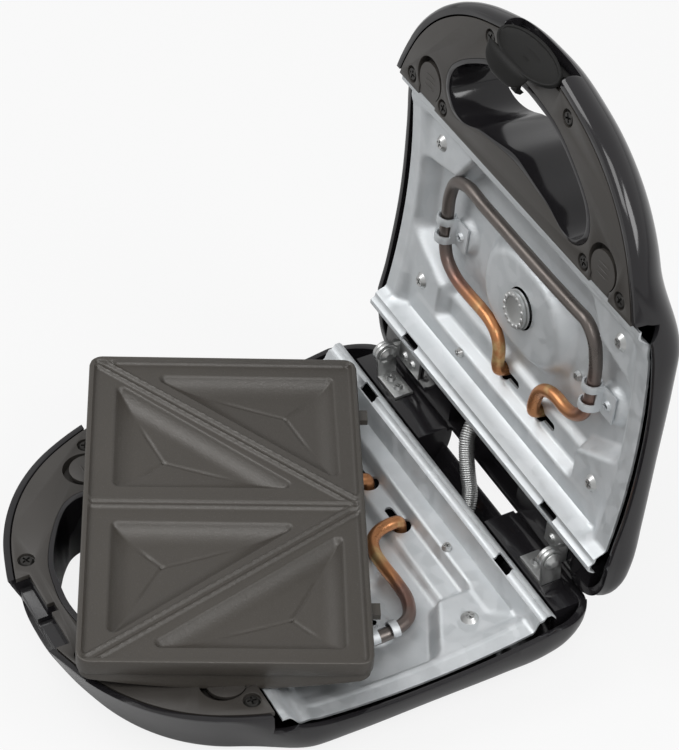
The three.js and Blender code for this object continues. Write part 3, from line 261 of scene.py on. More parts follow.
def heatedSteel():
    look = Look("heatedSteel")
    cloud = look.noise(12, 4, 0.6)
    fine = look.noise(1.5, 3)
    spread = look.add("ShaderNodeUVMap", {"uv_map": "heat"}, {})
    heat = look.add("ShaderNodeSeparateXYZ", {}, {"Vector": spread}, "X")
    grey = look.tint((0.105, 0.093, 0.085), (0.165, 0.142, 0.13), cloud)
    near = heat + (cloud - 0.5) * 0.3
    blush = look.tint((0.2, 0.095, 0.07), grey, look.band(near, 0.72, 1.05, 0.2, 1.0))
    copper = look.tint((0.45, 0.2, 0.085), blush, look.band(near, 0.55, 0.8))
    gold = look.tint(copper, (0.55, 0.38, 0.18), look.band(cloud, 0.5, 0.66) * look.band(near, 0.62, 0.5))
    look.wear(Base_Color=gold, Metallic=0.75, Roughness=look.band(cloud, 0.3, 0.7, 0.26, 0.42),
              Normal=look.relief(fine, 0.02))
    return look.material


def coatedPlate():
    look = Look("coatedPlate", Specular_IOR_Level=0.65)
    speckle = look.noise(0.7, 3, 0.7)
    pebble = look.noise(1.6, 2, 0.5)
    cloud = look.noise(40, 3)
    body = look.tint((0.040, 0.035, 0.029), (0.050, 0.044, 0.037), cloud)
    flecked = look.tint(body, (0.13, 0.12, 0.115), look.band(speckle, 0.58, 0.78, 0.0, 0.5))
    look.wear(Base_Color=flecked, Roughness=look.band(speckle, 0.35, 0.7, 0.48, 0.34), Metallic=0.15,
              Normal=look.relief(speckle + pebble, 0.08))
    return look.material


def lampLens(name, deep, pale):
    look = Look(name, Transmission_Weight=0.35, Coat_Weight=0.5)
    cloud = look.noise(2, 2)
    look.wear(Base_Color=look.tint(deep, pale, cloud), Roughness=look.band(cloud, 0.3, 0.7, 0.12, 0.2))
    return look.material


finishes = {"glossBlack": cloudy("glossBlack", Specular_IOR_Level=0.5),
            "satinGrey": cloudy("satinGrey", Specular_IOR_Level=0.5),
            "matteBlack": cloudy("matteBlack", Specular_IOR_Level=0.12),
            "galvanised": galvanised(), "brightZinc": brightZinc(), "heatedSteel": heatedSteel(),
            "blackScrew": cloudy("blackScrew", Metallic=0.7), "blackRubber": cloudy("blackRubber"),
            "coatedPlate": coatedPlate(),
            "redLens": lampLens("redLens", (0.35, 0.01, 0.008), (0.5, 0.03, 0.02)),
            "greenLens": lampLens("greenLens", (0.01, 0.25, 0.03), (0.03, 0.4, 0.08))}
print("finishes made")


def finishOf(name):  # the finish of a carried-over solid by the word in its name
    for word, coat in (("clip", "galvanised"), ("foot", "blackRubber"), ("inlet", "blackRubber"),
                       ("red", "redLens"), ("green", "greenLens"), ("terminal", "matteBlack")):
        if word in name:
            return finishes[coat]
    return finishes["brightZinc"]


def slotOf(name):
    return next(part["material_slot"] for part in frame["record"]["subparts"] if part["node"] == name)


def bodyOf(name):
    return nodes[name]["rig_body"]


def stand(name, mesh):  # an object for a mesh, at the origin
    made = bpy.data.objects.new(name, mesh)
    bpy.context.scene.collection.objects.link(made)
    return made


def smoothed(mesh, degrees):
    for face in mesh.polygons:
        face.use_smooth = True
    mesh.set_sharp_from_angle(angle=math.radians(degrees))


def plain(made):  # modifiers become mesh
    graph = bpy.context.evaluated_depsgraph_get()
    mesh = bpy.data.meshes.new_from_object(made.evaluated_get(graph))
    made.modifiers.clear()
    made.data = mesh


def roundEdges(piece, width, degrees, corners="MITER_ARC"):
    rounding = piece.modifiers.new("edges", "BEVEL")
    rounding.width, rounding.segments, rounding.limit_method = width * mm, 2, "ANGLE"
    rounding.angle_limit = math.radians(degrees)
    rounding.miter_outer = corners
    plain(piece)


def settle(made, *names):  # rides on the solids' body and stands for them
    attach(made, bodyOf(names[0]))
    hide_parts(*names)
    slotOf(names[0])


dressing = {"edge": 0.25, "degrees": 32, "merge": 0.002, "flat": 1.0}


def dress(name):  # a copy of a solid with its edges rounded
    made = stand("dressed." + name, nodes[name].data.copy())
    work = bmesh.new()
    work.from_mesh(made.data)
    bmesh.ops.remove_doubles(work, verts=work.verts, dist=dressing["merge"] * mm)
    bmesh.ops.dissolve_limit(work, angle_limit=math.radians(dressing["flat"]), verts=work.verts,
                             edges=work.edges)
    work.to_mesh(made.data)
    work.free()
    made.data.materials.clear()
    made.data.materials.append(finishOf(name))
    roundEdges(made, dressing["edge"], dressing["degrees"])
    smoothed(made.data, dressing["degrees"])
    settle(made, name)


# geometry trees
class Pattern(Graph):  # a tree that repeats a small part
    def __init__(self, name, **sizes):
        self.tree = bpy.data.node_groups.new(name, "GeometryNodeTree")
        sockets = self.tree.interface
        sockets.new_socket("Geometry", in_out="INPUT", socket_type="NodeSocketGeometry")
        kinds = {int: "NodeSocketInt", float: "NodeSocketFloat", tuple: "NodeSocketVector"}
        self.keys = {}
        for key, value in sizes.items():
            socket = sockets.new_socket(key, in_out="INPUT", socket_type=kinds[type(value)])
            socket.default_value = value
            self.keys[key] = socket.identifier
        paint = sockets.new_socket("finish", in_out="INPUT", socket_type="NodeSocketMaterial")
        self.keys["finish"] = paint.identifier
        sockets.new_socket("Geometry", in_out="OUTPUT", socket_type="NodeSocketGeometry")
        self.start = self.tree.nodes.new("NodeGroupInput")

    def size(self, key):
        return Flow(self, self.start.outputs[key])

    def close(self, geometry):  # real mesh in its finish
        whole = self.add("GeometryNodeRealizeInstances", {}, {"Geometry": geometry})
        painted = self.add("GeometryNodeSetMaterial", {}, {
            "Geometry": whole, "Material": self.size("finish")})
        self.feed(self.tree.nodes.new("NodeGroupOutput").inputs[0], painted)
        return self

    def made(self, name, spots, edges=(), **values):  # the tree's result on a few points, as plain mesh
        mesh = bpy.data.meshes.new(name)
        mesh.from_pydata([tuple(spot) for spot in spots], list(edges), [])
        made = stand(name, mesh)
        maker = made.modifiers.new("pattern", "NODES")
        maker.node_group = self.tree
        for key, value in values.items():
            maker[self.keys[key]] = value
        plain(made)
        return made


def crossScrew():  # one cross head on every point
    tree = Pattern("crossScrew", headRadius=4.0 * mm, headHeight=1.6 * mm, faceRadius=2.9 * mm,
                   crossReach=2.2 * mm, crossWidth=1.0 * mm, crossDepth=1.0 * mm, shankRadius=1.6 * mm,
                   shankLength=6.0 * mm, turn=(0.0, 0.0, 0.0), seed=3)
    low = tree.add("ShaderNodeCombineXYZ", {}, {"Z": tree.size("headHeight") * -1.0})
    head = tree.add("GeometryNodeMeshCone", {}, {
        "Vertices": 40, "Radius Top": tree.size("faceRadius"), "Radius Bottom": tree.size("headRadius"),
        "Depth": tree.size("headHeight")})
    head = tree.add("GeometryNodeTransform", {}, {"Geometry": head, "Translation": low})
    arms = []
    for long, short in (("crossReach", "crossWidth"), ("crossWidth", "crossReach")):
        size = tree.add("ShaderNodeCombineXYZ", {}, {
            "X": tree.size(long) * (2.0 if long == "crossReach" else 1.0),
            "Y": tree.size(short) * (2.0 if short == "crossReach" else 1.0),
            "Z": tree.size("crossDepth") * 2.0})
        arms.append(tree.add("GeometryNodeMeshCube", {}, {"Size": size}))
    cut = tree.add("GeometryNodeMeshBoolean", {"operation": "DIFFERENCE"}, {"Mesh 1": head, "Mesh 2": arms})
    drop = tree.add("ShaderNodeCombineXYZ", {}, {
        "Z": (tree.size("headHeight") + tree.size("shankLength") * 0.5) * -1.0})
    shank = tree.add("GeometryNodeMeshCylinder", {}, {
        "Vertices": 20, "Radius": tree.size("shankRadius"), "Depth": tree.size("shankLength")})
    shank = tree.add("GeometryNodeTransform", {}, {"Geometry": shank, "Translation": drop})
    whole = tree.add("GeometryNodeJoinGeometry", {}, {"Geometry": [cut, shank]})
    spin = tree.add("FunctionNodeRandomValue", {"data_type": "FLOAT"}, {
        2: 0.0, 3: math.pi / 2, "Seed": tree.size("seed")}, 1)  # sockets 2 and 3 are its least and most
    around = tree.add("ShaderNodeCombineXYZ", {}, {"Z": spin})
    heads = tree.add("GeometryNodeInstanceOnPoints", {}, {
        "Points": tree.size("Geometry"), "Instance": whole, "Rotation": tree.size("turn")})
    heads = tree.add("GeometryNodeRotateInstances", {}, {"Instances": heads, "Rotation": around})
    return tree.close(heads)


def woundSleeve():  # a wire wound round a line
    tree = Pattern("woundSleeve", turns=34, stepsAround=14, radius=3.6 * mm, wire=0.8 * mm)
    line = tree.add("GeometryNodeMeshToCurve", {}, {"Mesh": tree.size("Geometry")})
    fine = tree.add("GeometryNodeResampleCurve", {}, {
        "Curve": line, "Count": tree.size("turns") * tree.size("stepsAround")})
    count = tree.add("GeometryNodeInputIndex", {}, {})
    heading = tree.add("GeometryNodeInputTangent", {}, {})
    aside = tree.add("GeometryNodeInputNormal", {}, {})
    swung = tree.add("ShaderNodeVectorRotate", {"rotation_type": "AXIS_ANGLE"}, {
        "Vector": aside, "Axis": heading, "Angle": count * (2 * math.pi) / tree.size("stepsAround")})
    offset = tree.add("ShaderNodeVectorMath", {"operation": "SCALE"}, {
        "Vector": swung, "Scale": tree.size("radius")})
    coil = tree.add("GeometryNodeSetPosition", {}, {"Geometry": fine, "Offset": offset})
    ring = tree.add("GeometryNodeCurvePrimitiveCircle", {"mode": "RADIUS"}, {
        "Resolution": 8, "Radius": tree.size("wire")})
    thread = tree.add("GeometryNodeCurveToMesh", {}, {
        "Curve": coil, "Profile Curve": ring, "Fill Caps": True})
    return tree.close(thread)


def beadRing():  # small beads round a disc, or ribs in a row: one bead on every point
    tree = Pattern("beadRing", size=(1.0 * mm, 1.0 * mm, 1.0 * mm), turn=(0.0, 0.0, 0.0))
    bead = tree.add("GeometryNodeMeshIcoSphere", {}, {"Radius": 1.0, "Subdivisions": 3})
    shaped = tree.add("GeometryNodeTransform", {}, {"Geometry": bead, "Scale": tree.size("size")})
    beads = tree.add("GeometryNodeInstanceOnPoints", {}, {
        "Points": tree.size("Geometry"), "Instance": shaped, "Rotation": tree.size("turn")})
    return tree.close(beads)


screwTree, sleeveTree, beadTree = crossScrew(), woundSleeve(), beadRing()
places = {"base": basePlace, "lid": lidPlace}
turns = {"base": (0.0, 0.0, 0.0), "lid": (math.pi - lidAngle, 0.0, 0.0)}  # upright pieces lean with the lid


# shaping tools
def steps(low, high, count):  # evenly from low to high
    return [mix(low, high, index / count) for index in range(count + 1)]


def circle(x, y, radius, sides):  # points evenly round a centre
    return [(x + radius * math.cos(turn), y + radius * math.sin(turn))
            for turn in (2 * math.pi * index / sides for index in range(sides))]


def gridRim(wide, deep):  # the border of a grid of points, once round
    end = wide * deep - 1
    rim = list(range(wide)) + [row * wide + wide - 1 for row in range(1, deep)]
    return rim + [end - index for index in range(1, wide)] + [row * wide for row in range(deep - 2, 0, -1)]


def smoothLine(points, parts, closed=True):  # even curve through a few points
    count = len(points)
    spots = [Vector(point) for point in points]

    def spot(index):
        return spots[index % count] if closed else spots[min(count - 1, max(0, index))]

    def slope(index):
        before, here, after = spot(index - 1), spot(index), spot(index + 1)
        past, ahead = (here - before).length, (after - here).length
        if past == 0 or ahead == 0:
            return (after - before) / (past + ahead)
        return ((here - before) / past * ahead + (after - here) / ahead * past) / (past + ahead)

    line = []
    for index in range(count if closed else count - 1):
        start, end = spot(index), spot(index + 1)
        run = (end - start).length
        rise, fall = slope(index) * run, slope(index + 1) * run
        for part in range(parts):
            t = part / parts
            line.append(start * (2 * t ** 3 - 3 * t ** 2 + 1) + rise * (t ** 3 - 2 * t ** 2 + t)
                        + end * (3 * t ** 2 - 2 * t ** 3) + fall * (t ** 3 - t ** 2))
    return line if closed else line + [spot(count - 1)]


def shape(name, points, faces):
    mesh = bpy.data.meshes.new(name)
    mesh.from_pydata([tuple(point) for point in points], [], faces)
    work = bmesh.new()
    work.from_mesh(mesh)
    bmesh.ops.recalc_face_normals(work, faces=work.faces)
    work.to_mesh(mesh)
    work.free()
    return stand(name, mesh)


def loft(name, rings, place):  # skin over rings of points, ends closed
    count = len(rings[0])
    points = [place(*point) for ring in rings for point in ring]
    faces = []
    for low in range(0, len(points) - count, count):
        for index in range(count):
            after = (index + 1) % count
            faces.append((low + index, low + after, low + count + after, low + count + index))
    faces += [tuple(range(count)), tuple(range(len(points) - count, len(points)))]
    return shape(name, points, faces)


def slab(name, outline, low, high, place):
    return loft(name, [[(x, v, depth) for x, v in outline] for depth in (low, high)], place)


def block(name, low, high, place):
    (x0, v0, d0), (x1, v1, d1) = low, high
    return slab(name, [(x0, v0), (x1, v0), (x1, v1), (x0, v1)], d0, d1, place)


def peg(name, x, v, radius, low, high, place, sides=48):
    return slab(name, circle(x, v, radius, sides), low, high, place)


def across(name, profile, x0, x1, place):  # a profile of forward and depth, drawn along the hinge
    return loft(name, [[(x, v, depth) for v, depth in profile] for x in (x0, x1)], place)


def carve(piece, tools, operation="DIFFERENCE"):
    for tool in tools:
        step = piece.modifiers.new("step", "BOOLEAN")
        step.operation, step.object, step.solver = operation, tool, "MANIFOLD"
    plain(piece)
    for tool in tools:
        bpy.data.objects.remove(tool)
    return piece


def joinPieces(piece, other):
    work = bmesh.new()
    work.from_mesh(piece.data)
    work.from_mesh(other.data)
    bpy.data.objects.remove(other)
    work.to_mesh(piece.data)
    work.free()


def largest(piece):  # loose slivers fall away
    work = bmesh.new()
    work.from_mesh(piece.data)
    left = set(work.verts)
    groups = []
    while left:
        ahead = [left.pop()]
        group = set(ahead)
        while ahead:
            near = {vert for edge in ahead.pop().link_edges for vert in edge.verts} & left
            left -= near
            group |= near
            ahead += near
        groups.append(group)
    keep = max(groups, key=len)
    bmesh.ops.delete(work, geom=[vert for vert in work.verts if vert not in keep], context="VERTS")
    work.to_mesh(piece.data)
    work.free()
    return piece


mergeWithin = 0.004


def finish(piece, look, edge, names, degrees=32):  # merged, painted, rounded, shaded and put on its body
    piece.data.materials.clear()
    piece.data.materials.append(finishes[look])
    work = bmesh.new()
    work.from_mesh(piece.data)
    bmesh.ops.remove_doubles(work, verts=work.verts, dist=mergeWithin * mm)
    bmesh.ops.dissolve_degenerate(work, edges=work.edges, dist=mergeWithin * mm)
    work.to_mesh(piece.data)
    work.free()
    if edge:
        roundEdges(piece, edge, degrees)
    smoothed(piece.data, degrees)
    if names:
        settle(piece, *names)
    return piece


# case outlines, in the half that is seen from the plates
case = {"halfWidth": 117.5, "length": 253.5, "rear": -12.0, "wall": 3.0, "middle": 117.5, "reach": 120.0,
        "handleRear": 163.0, "blend": 22.0, "coverInset": 3.9, "coverThickness": 2.5, "coverRear": 161.2,
        "gap": 0.3, "far": 60.0, "rimDepth": 12.0, "edge": 0.5, "coverEdge": 0.45, "wallSteps": 16,
        "crown": (0.8, 0.6, 0.4, 0.2, 0.05)}
caseOutlineShares = [
    (0, 1), (0.157, 0.996), (0.315, 0.978), (0.451, 0.956), (0.596, 0.92), (0.723, 0.873),
    (0.834, 0.811), (0.909, 0.746), (0.963, 0.679), (0.992, 0.615), (1, 0.53), (1, 0.35),
    (1, 0.18), (0.996, 0.1), (0.975, 0.055), (0.93, 0.022), (0.86, 0.003), (0.78, 0), (0.4, 0), (0, 0)]
openingShares = [
    (0, 1), (0.21, 0.971), (0.399, 0.919), (0.555, 0.833), (0.735, 0.694), (0.862, 0.573),
    (0.96, 0.438), (1, 0.29), (0.99, 0.179), (0.93, 0.073), (0.847, 0.01), (0.741, 0), (0.667, 0.023),
    (0.547, 0.083), (0.31, 0.137), (0, 0.179)]
opening = {"halfWidth": 66.7, "rear": 169.7, "length": 52.0, "middle": 195.0, "lip": 3.4, "taper": 3.0,
           "shift": 1.6}
front = case["rear"] + case["length"]
behind, beyond, aside = 2 * case["rear"], 2 * front, 2 * case["halfWidth"]  # where cuts leave the case
above = -case["wall"]  # cuts start outside the parting plane


def mirrored(pairs):
    return list(pairs) + [(-x, y) for x, y in reversed(pairs[1:-1])]


def outline(form, shares, parts):
    return [tuple(point) for point in smoothLine(
        [(x * form["halfWidth"], form["rear"] + v * form["length"]) for x, v in mirrored(shares)], parts)]


caseLine = outline(case, caseOutlineShares, 7)
openingLine = outline(opening, openingShares, 6)


def caseGrown(grow, line=None):
    share = 1 + grow / case["reach"]
    return [(x * share, max(case["middle"] + (v - case["middle"]) * share, case["rear"]))
            for x, v in line or caseLine]


def openingGrown(grow, shift=0.0):
    grown = []
    for x, v in openingLine:
        run = math.hypot(x, v - opening["middle"])
        grown.append((x + grow * x / run, v + shift + grow * (v - opening["middle"]) / run))
    return grown


arch = {"rear": 18.0, "front": 151.0, "end": 10.4, "rise": 5.6, "parts": 40}


def archAt(forward):
    half = (arch["front"] - arch["rear"]) / 2
    share = (forward - arch["rear"] - half) / half
    return arch["end"] + arch["rise"] * max(0.0, 1 - share * share)


latch = {"middle": 238.3, "height": -2.9, "tilt": 30.0, "halfWidth": 25.2, "halfHeight": 9.2, "rim": 1.5,
         "rimHeight": 0.75, "dish": 0.5, "pinForward": 234.5, "pinHeight": 6.0, "barrel": 3.0, "bore": 1.8,
         "armHalf": 21.0, "reach": 20.7, "drop": 14.2, "lipHalf": 17.5, "lipMiddle": -6.0,
         "lipRoot": (0.22, 0.62),
         "lipParts": 16, "lipPower": 2.6, "lipLeast": 0.03, "nibHalf": 2.2, "nibReach": 0.97, "edge": 0.18,
         "blockHalf": 29.0, "pocketHalf": 25.6, "pocketRear": 228.0, "pocketDepth": 10.4, "coverRear": 233.4}
catch = {"half": 25.3, "rear": 228.0, "depth": 8.0, "lipRear": 233.4, "lipDepth": 14.5, "faceRear": 237.9,
         "faceDepth": 7.0, "nibHalf": 3.0, "nibRear": 224.4, "nibDepth": 11.2}
tower = {"inner": 34.5, "outer": 104.0, "rear": -10.0, "front": 8.0, "wall": 3.0, "rim": 11.3, "rimEnd": 3.0,
         "gapDepth": 25.0, "lowRear": -8.8, "lowDepth": 13.6}
coverScrews = [(97.25, 167.3), (66.1, 166.9), (35.15, 225.5)]
post = {"radius": 2.9, "top": 2.8}  # under each cover screw
seatHole = {"shank": 2.0, "head": 4.4, "depth": 1.9}
walls = {  # how far the side draws in, where it starts and ends, its roundness and its swell
    "base": {"side": (20.4, 13.0, 38.8, 2.68, -2.2), "handle": (15.0, 0.0, 35.2, 1.72, -4.6), "crown": 0.0},
    "lid": {"side": (27.1, 13.0, 34.8, 1.94, 3.6), "handle": (33.5, 0.0, 30.1, 1.41, 7.1), "crown": 7.0}}


def wallAt(form, share):
    inset, start, depth, power, swell = form
    turn = share * math.pi / 2
    return (swell * math.sin(share * math.pi) - inset * (1 - math.cos(turn) ** (2 / power)),
            start + (depth - start) * math.sin(turn) ** (2 / power))


def caseSkin(name, half, shrink, edge, place):
    form = walls[half]
    rings = [[(x, v, edge) for x, v in caseGrown(-shrink)]]
    for part in steps(0.0, 1.0, case["wallSteps"]):
        sideGrow, sideDepth = wallAt(form["side"], part)
        handleGrow, handleDepth = wallAt(form["handle"], part)
        ring = []
        for x, v in caseLine:
            share = ease(case["handleRear"] - case["blend"], case["handleRear"] + case["blend"], v)
            grown = caseGrown(mix(sideGrow, handleGrow, share) - shrink, [(x, v)])[0]
            depth = mix(sideDepth, handleDepth, share) * (1 - shrink / case["far"])
            ring.append((*grown, depth))
        rings.append(ring)
    flat = form["side"][2] + form["crown"] - (case["wall"] if shrink else 0)
    last = rings[-1]
    for share in case["crown"]:
        rings.append([(x * share, case["middle"] + (v - case["middle"]) * share,
                       mix(flat, depth, share * share)) for x, v, depth in last])
    return loft(name, rings, place)


def catchCuts(place):  # the base half's notch, which takes the latch when shut
    spots = [(catch["half"], catch["rear"], beyond, catch["depth"]),
             (catch["half"], catch["lipRear"], beyond, catch["lipDepth"]),
             (latch["pocketHalf"], catch["faceRear"], beyond, catch["faceDepth"]),
             (catch["nibHalf"], catch["nibRear"], front, catch["nibDepth"])]
    return [block("cut", (-half, rear, above), (half, end, depth), place) for half, rear, end, depth in spots]


def makeShell(half, place):
    far, gap, wall = case["far"], case["gap"], case["wall"]
    outer = caseSkin("shell." + half, half, 0, -gap, place)
    cavity = caseSkin("cavity", half, wall, -wall, place)
    funnel = [[(x, v, -gap) for x, v in openingGrown(-gap)],
              [(x, v, far) for x, v in openingGrown(-gap - opening["taper"], opening["shift"])]]
    kept = [loft("kept", funnel, place)]
    thick = tower["wall"]
    for side in (-1, 1):
        left, right = sorted((side * tower["inner"], side * tower["outer"]))
        box = block("kept", (left, tower["rear"], tower["rim"]), (right, tower["front"], far), place)
        kept.append(carve(box, [block(
            "cut", (left + thick, tower["rear"] + thick, tower["rim"] + 2 * thick),
            (right - thick, 2 * tower["front"], far - thick), place)]))
        kept += [peg("kept", side * x, v, post["radius"], post["top"], far, place) for x, v in coverScrews]
    rear = latch["pocketRear"] - wall if half == "lid" else catch["rear"] - 2 * wall
    kept.append(block("kept", (-latch["blockHalf"], rear, post["top"]),
                      (latch["blockHalf"], front, walls[half]["handle"][2]), place))
    carve(cavity, kept)
    rim = [(behind, above), (behind, tower["rim"]), (tower["rimEnd"], tower["rim"])]
    rim += [(v, archAt(v)) for v in steps(arch["rear"], arch["front"], arch["parts"])]
    rim += [(case["coverRear"], case["rimDepth"]), (case["handleRear"], case["rimDepth"]),
            (case["handleRear"], above)]
    seat = slab("seat", caseGrown(gap - case["coverInset"]), above, case["coverThickness"] + gap, place)
    carve(seat, [slab("cut", openingGrown(-gap), -far, far, place),
                 block("cut", (-aside, behind, -far), (aside, case["handleRear"], far), place)])
    through = [[(x, v, depth) for x, v in openingGrown(-opening["lip"] - narrow, shift)]
               for depth, narrow, shift in ((above, 0, 0), (wall, 0, 0),
                                            (far + wall, opening["taper"], opening["shift"]))]
    closed = case["rear"] + wall if half == "lid" else behind  # only the lid keeps its rear wall
    tools = [cavity, loft("hole", through, place), across("rim", rim, -aside, aside, place),
             block("face", (-aside, behind, -far), (aside, 2 * case["length"], 0), place), seat,
             block("rear", (-tower["inner"], closed, above),
                   (tower["inner"], tower["front"] + thick, tower["gapDepth"]), place)]
    if half == "lid":
        tools.append(block("pocket", (-latch["pocketHalf"], latch["pocketRear"], above),
                           (latch["pocketHalf"], beyond, latch["pocketDepth"]), place))
    else:
        tools += catchCuts(place)
        tools.append(block("lower", (-tower["outer"], behind, above),
                           (tower["outer"], tower["lowRear"], tower["lowDepth"]), place))
    carve(outer, tools)
    finish(largest(outer), "glossBlack", case["edge"], [half + "_shell"])


cup = {"x": 81.0, "middle": 174.4, "radius": 11.6, "half": 8.2, "floor": 5.9, "wall": 1.1, "top": 0.3,
       "sides": 72}  # each release button slides in one


def makeCover(half, place):
    far, thick, floor, middle = case["far"], cup["wall"], cup["floor"], cup["middle"]
    cover = slab("cover." + half, caseGrown(-case["coverInset"]), 0, case["coverThickness"], place)
    carve(cover, [block("cut", (-aside, behind, above), (aside, case["coverRear"], far), place),
                  slab("cut", openingGrown(0), above, far, place)])
    cups, cuts = [], []
    for side in (-1, 1):
        x, wide, low = side * cup["x"], cup["half"] + thick, floor + thick
        cups += [peg("cup", x, middle, cup["radius"] + thick, cup["top"], low, place, cup["sides"]),
                 block("cup", (x - wide, case["coverRear"], cup["top"]), (x + wide, middle, low), place)]
        cuts += [peg("cut", x, middle, cup["radius"], above, floor, place, cup["sides"]),
                 block("cut", (x - cup["half"], case["coverRear"] - case["wall"], above),
                       (x + cup["half"], middle, floor), place)]
        for screwX, screwV in coverScrews:
            cuts += [peg("cut", side * screwX, screwV, seatHole["shank"], above, far, place),
                     peg("cut", side * screwX, screwV, seatHole["head"], above, seatHole["depth"], place)]
    carve(cover, cups, "UNION")
    carve(cover, cuts)
    pocket = (-latch["pocketHalf"], latch["coverRear"], above), (latch["pocketHalf"], beyond, far)
    carve(cover, [block("cut", *pocket, place)] if half == "lid" else catchCuts(place))
    finish(largest(cover), "satinGrey", case["coverEdge"], [half + "_handle_cover"])


# the trays, each pressed from one sheet
tray = {"halfWidth": 111.4, "rear": 12.0, "front": 158.6, "sheet": 1.3, "step": 1.25, "floor": 25.6,
        "screws": [(85.1, 130.6), (85.1, 44.5)], "capHole": {"base": 3.6, "lid": 11.1}}
lugHole = {"x": 70.5, "width": 13.0, "rear": 15.8, "front": 20.0}
leg = {"shift": 8.7, "x": 17.4, "v": 41.5, "radius": 5.4, "tail": 12.6, "tailHalf": 2.2}
clip = {"x": 71.0, "shift": -3.0, "foot": 10.5, "v": 86.0, "depth": 22.4, "slope": (11.0, 7.5)}
plateau = {"v": 87.4, "halfLength": 38.5, "halfWidth": 26.0, "depth": 18.6, "power": 2.5,
           "slope": (1.12, 0.84)}
band = {"depth": 21.8, "side": (71.0, 64.0), "front": (52.0, 47.0)}
pad = {"depth": 15.8, "soft": 3.0, "frontX": 67.0, "frontV": 119.0, "slant": 0.7, "lean": 0.82, "skew": 0.2,
       "rearX": 66.0, "rearV": 52.0, "rearFrom": 62.0, "rearSlant": 0.5, "rearSoft": 3.5}
shelf = {"depth": 15.0, "front": (36.6, 33.8), "side": (98.0, 93.0), "slant": 0.6, "from": 20.0}
flange = {"side": (93.5, 101.5), "bead": 102.5, "beadHeight": 0.5, "beadWidth": 0.9,
          "step": (10.5, 139.0, 145.5)}
lips = [(3.6, 148.5, 155.5), (5.4, 24.2, 20.6), (3.0, 18.6, 17.4), (6.4, 14.2, 12.0)]  # depth, from, to


def trayDepth(x, v):
    wide = abs(x)
    reach = ((wide / plateau["halfLength"]) ** plateau["power"]
             + (abs(v - plateau["v"]) / plateau["halfWidth"]) ** plateau["power"]) ** (1 / plateau["power"])
    depth = mix(tray["floor"], plateau["depth"], ease(*plateau["slope"], reach))
    depth = mix(depth, band["depth"], ease(*band["side"], wide) * ease(*band["front"], v))
    soft, out, ahead = pad["soft"], wide - pad["frontX"], v - pad["frontV"]
    padFront = (ease(-soft, soft, (out + pad["slant"] * (ahead - 1)) * pad["lean"])
                * ease(-soft, soft, ahead + pad["skew"] * out))
    edge = pad["rearV"] + pad["rearSlant"] * (wide - pad["rearFrom"]) - v
    padRear = ease(-soft, soft, wide - pad["rearX"]) * ease(-pad["rearSoft"], pad["rearSoft"], edge)
    depth = mix(depth, pad["depth"], max(padFront, padRear))
    slanted = wide + shelf["slant"] * max(0.0, v - shelf["from"])
    depth = mix(depth, shelf["depth"], ease(*shelf["front"], v) * ease(*shelf["side"], slanted))
    for side in (-1, 1):
        boss = math.hypot(x - side * clip["x"] - clip["shift"] - clip["foot"], v - clip["v"])
        depth = mix(depth, min(depth, clip["depth"]), ease(*clip["slope"], boss))
    depth = mix(depth, archAt(v), ease(*flange["side"], wide))
    depth -= flange["beadHeight"] * math.exp(-((wide - flange["bead"]) / flange["beadWidth"]) ** 2)
    level, start, end = flange["step"]
    depth = mix(depth, min(depth, level), ease(start, end, v))
    for level, start, end in lips:
        depth = mix(depth, level, ease(start, end, v))
    return depth


def makeTray(half, place):
    far = case["far"]
    columns = steps(-tray["halfWidth"], tray["halfWidth"], round(2 * tray["halfWidth"] / tray["step"]))
    rows = steps(tray["rear"], tray["front"], round((tray["front"] - tray["rear"]) / tray["step"]))
    wide, count = len(columns), len(columns) * len(rows)
    points = [place(x, v, trayDepth(x, v) + extra)
              for extra in (0, tray["sheet"]) for v in rows for x in columns]
    faces = []
    for corner in range(count - wide):
        if (corner + 1) % wide:
            face = (corner, corner + 1, corner + wide + 1, corner + wide)
            faces += [face, tuple(count + index for index in reversed(face))]
    rim = gridRim(wide, len(rows))
    faces += [(after, here, here + count, after + count) for here, after in zip(rim, rim[1:] + rim[:1])]
    sheet = shape("tray." + half, points, faces)
    cuts = []
    for side in (-1, 1):
        x, v, tail = side * leg["x"] + leg["shift"], leg["v"], leg["tailHalf"]
        cuts += [peg("cut", x, v, leg["radius"], 0, far, place),
                 block("cut", (x, v - tail, 0), (x + leg["tail"], v + tail, far), place),
                 peg("cut", x + leg["tail"], v, tail, 0, far, place)]
        x = side * lugHole["x"]
        cuts.append(block("cut", (x - lugHole["width"] / 2, lugHole["rear"], 0),
                          (x + lugHole["width"] / 2, lugHole["front"], far), place))
    cuts.append(peg("cut", 0, plateau["v"], tray["capHole"][half], 0, far, place))
    carve(sheet, cuts)
    finish(largest(sheet), "galvanised", 0, [half + "_tray"], degrees=48)


heater = {"halfWidth": 72.5, "rear": 38.5, "length": 82.9, "top": 14.0, "drop": 19.0, "radius": 3.35,
          "shiftBy": (0.35, 0.9), "parts": 8, "heatSpan": 100.0}
heaterShares = [
    (0.24, 0.04, 1), (0.24, 0.04, 0.6), (0.24, 0.042, 0.38), (0.241, 0.055, 0.24), (0.244, 0.092, 0.19),
    (0.25, 0.15, 0.188), (0.27, 0.21, 0.2), (0.32, 0.265, 0.21), (0.41, 0.3, 0.22),
    (0.52, 0.308, 0.23), (0.65, 0.303, 0.238), (0.79, 0.315, 0.237), (0.917, 0.38, 0.232),
    (0.975, 0.505, 0.23), (0.983, 0.65, 0.22), (0.974, 0.815, 0.18), (0.917, 0.94, 0.155),
    (0.8, 0.998, 0.145), (0.621, 0.999, 0.14), (0.276, 0.995, 0.14), (0, 0.99, 0.14)]


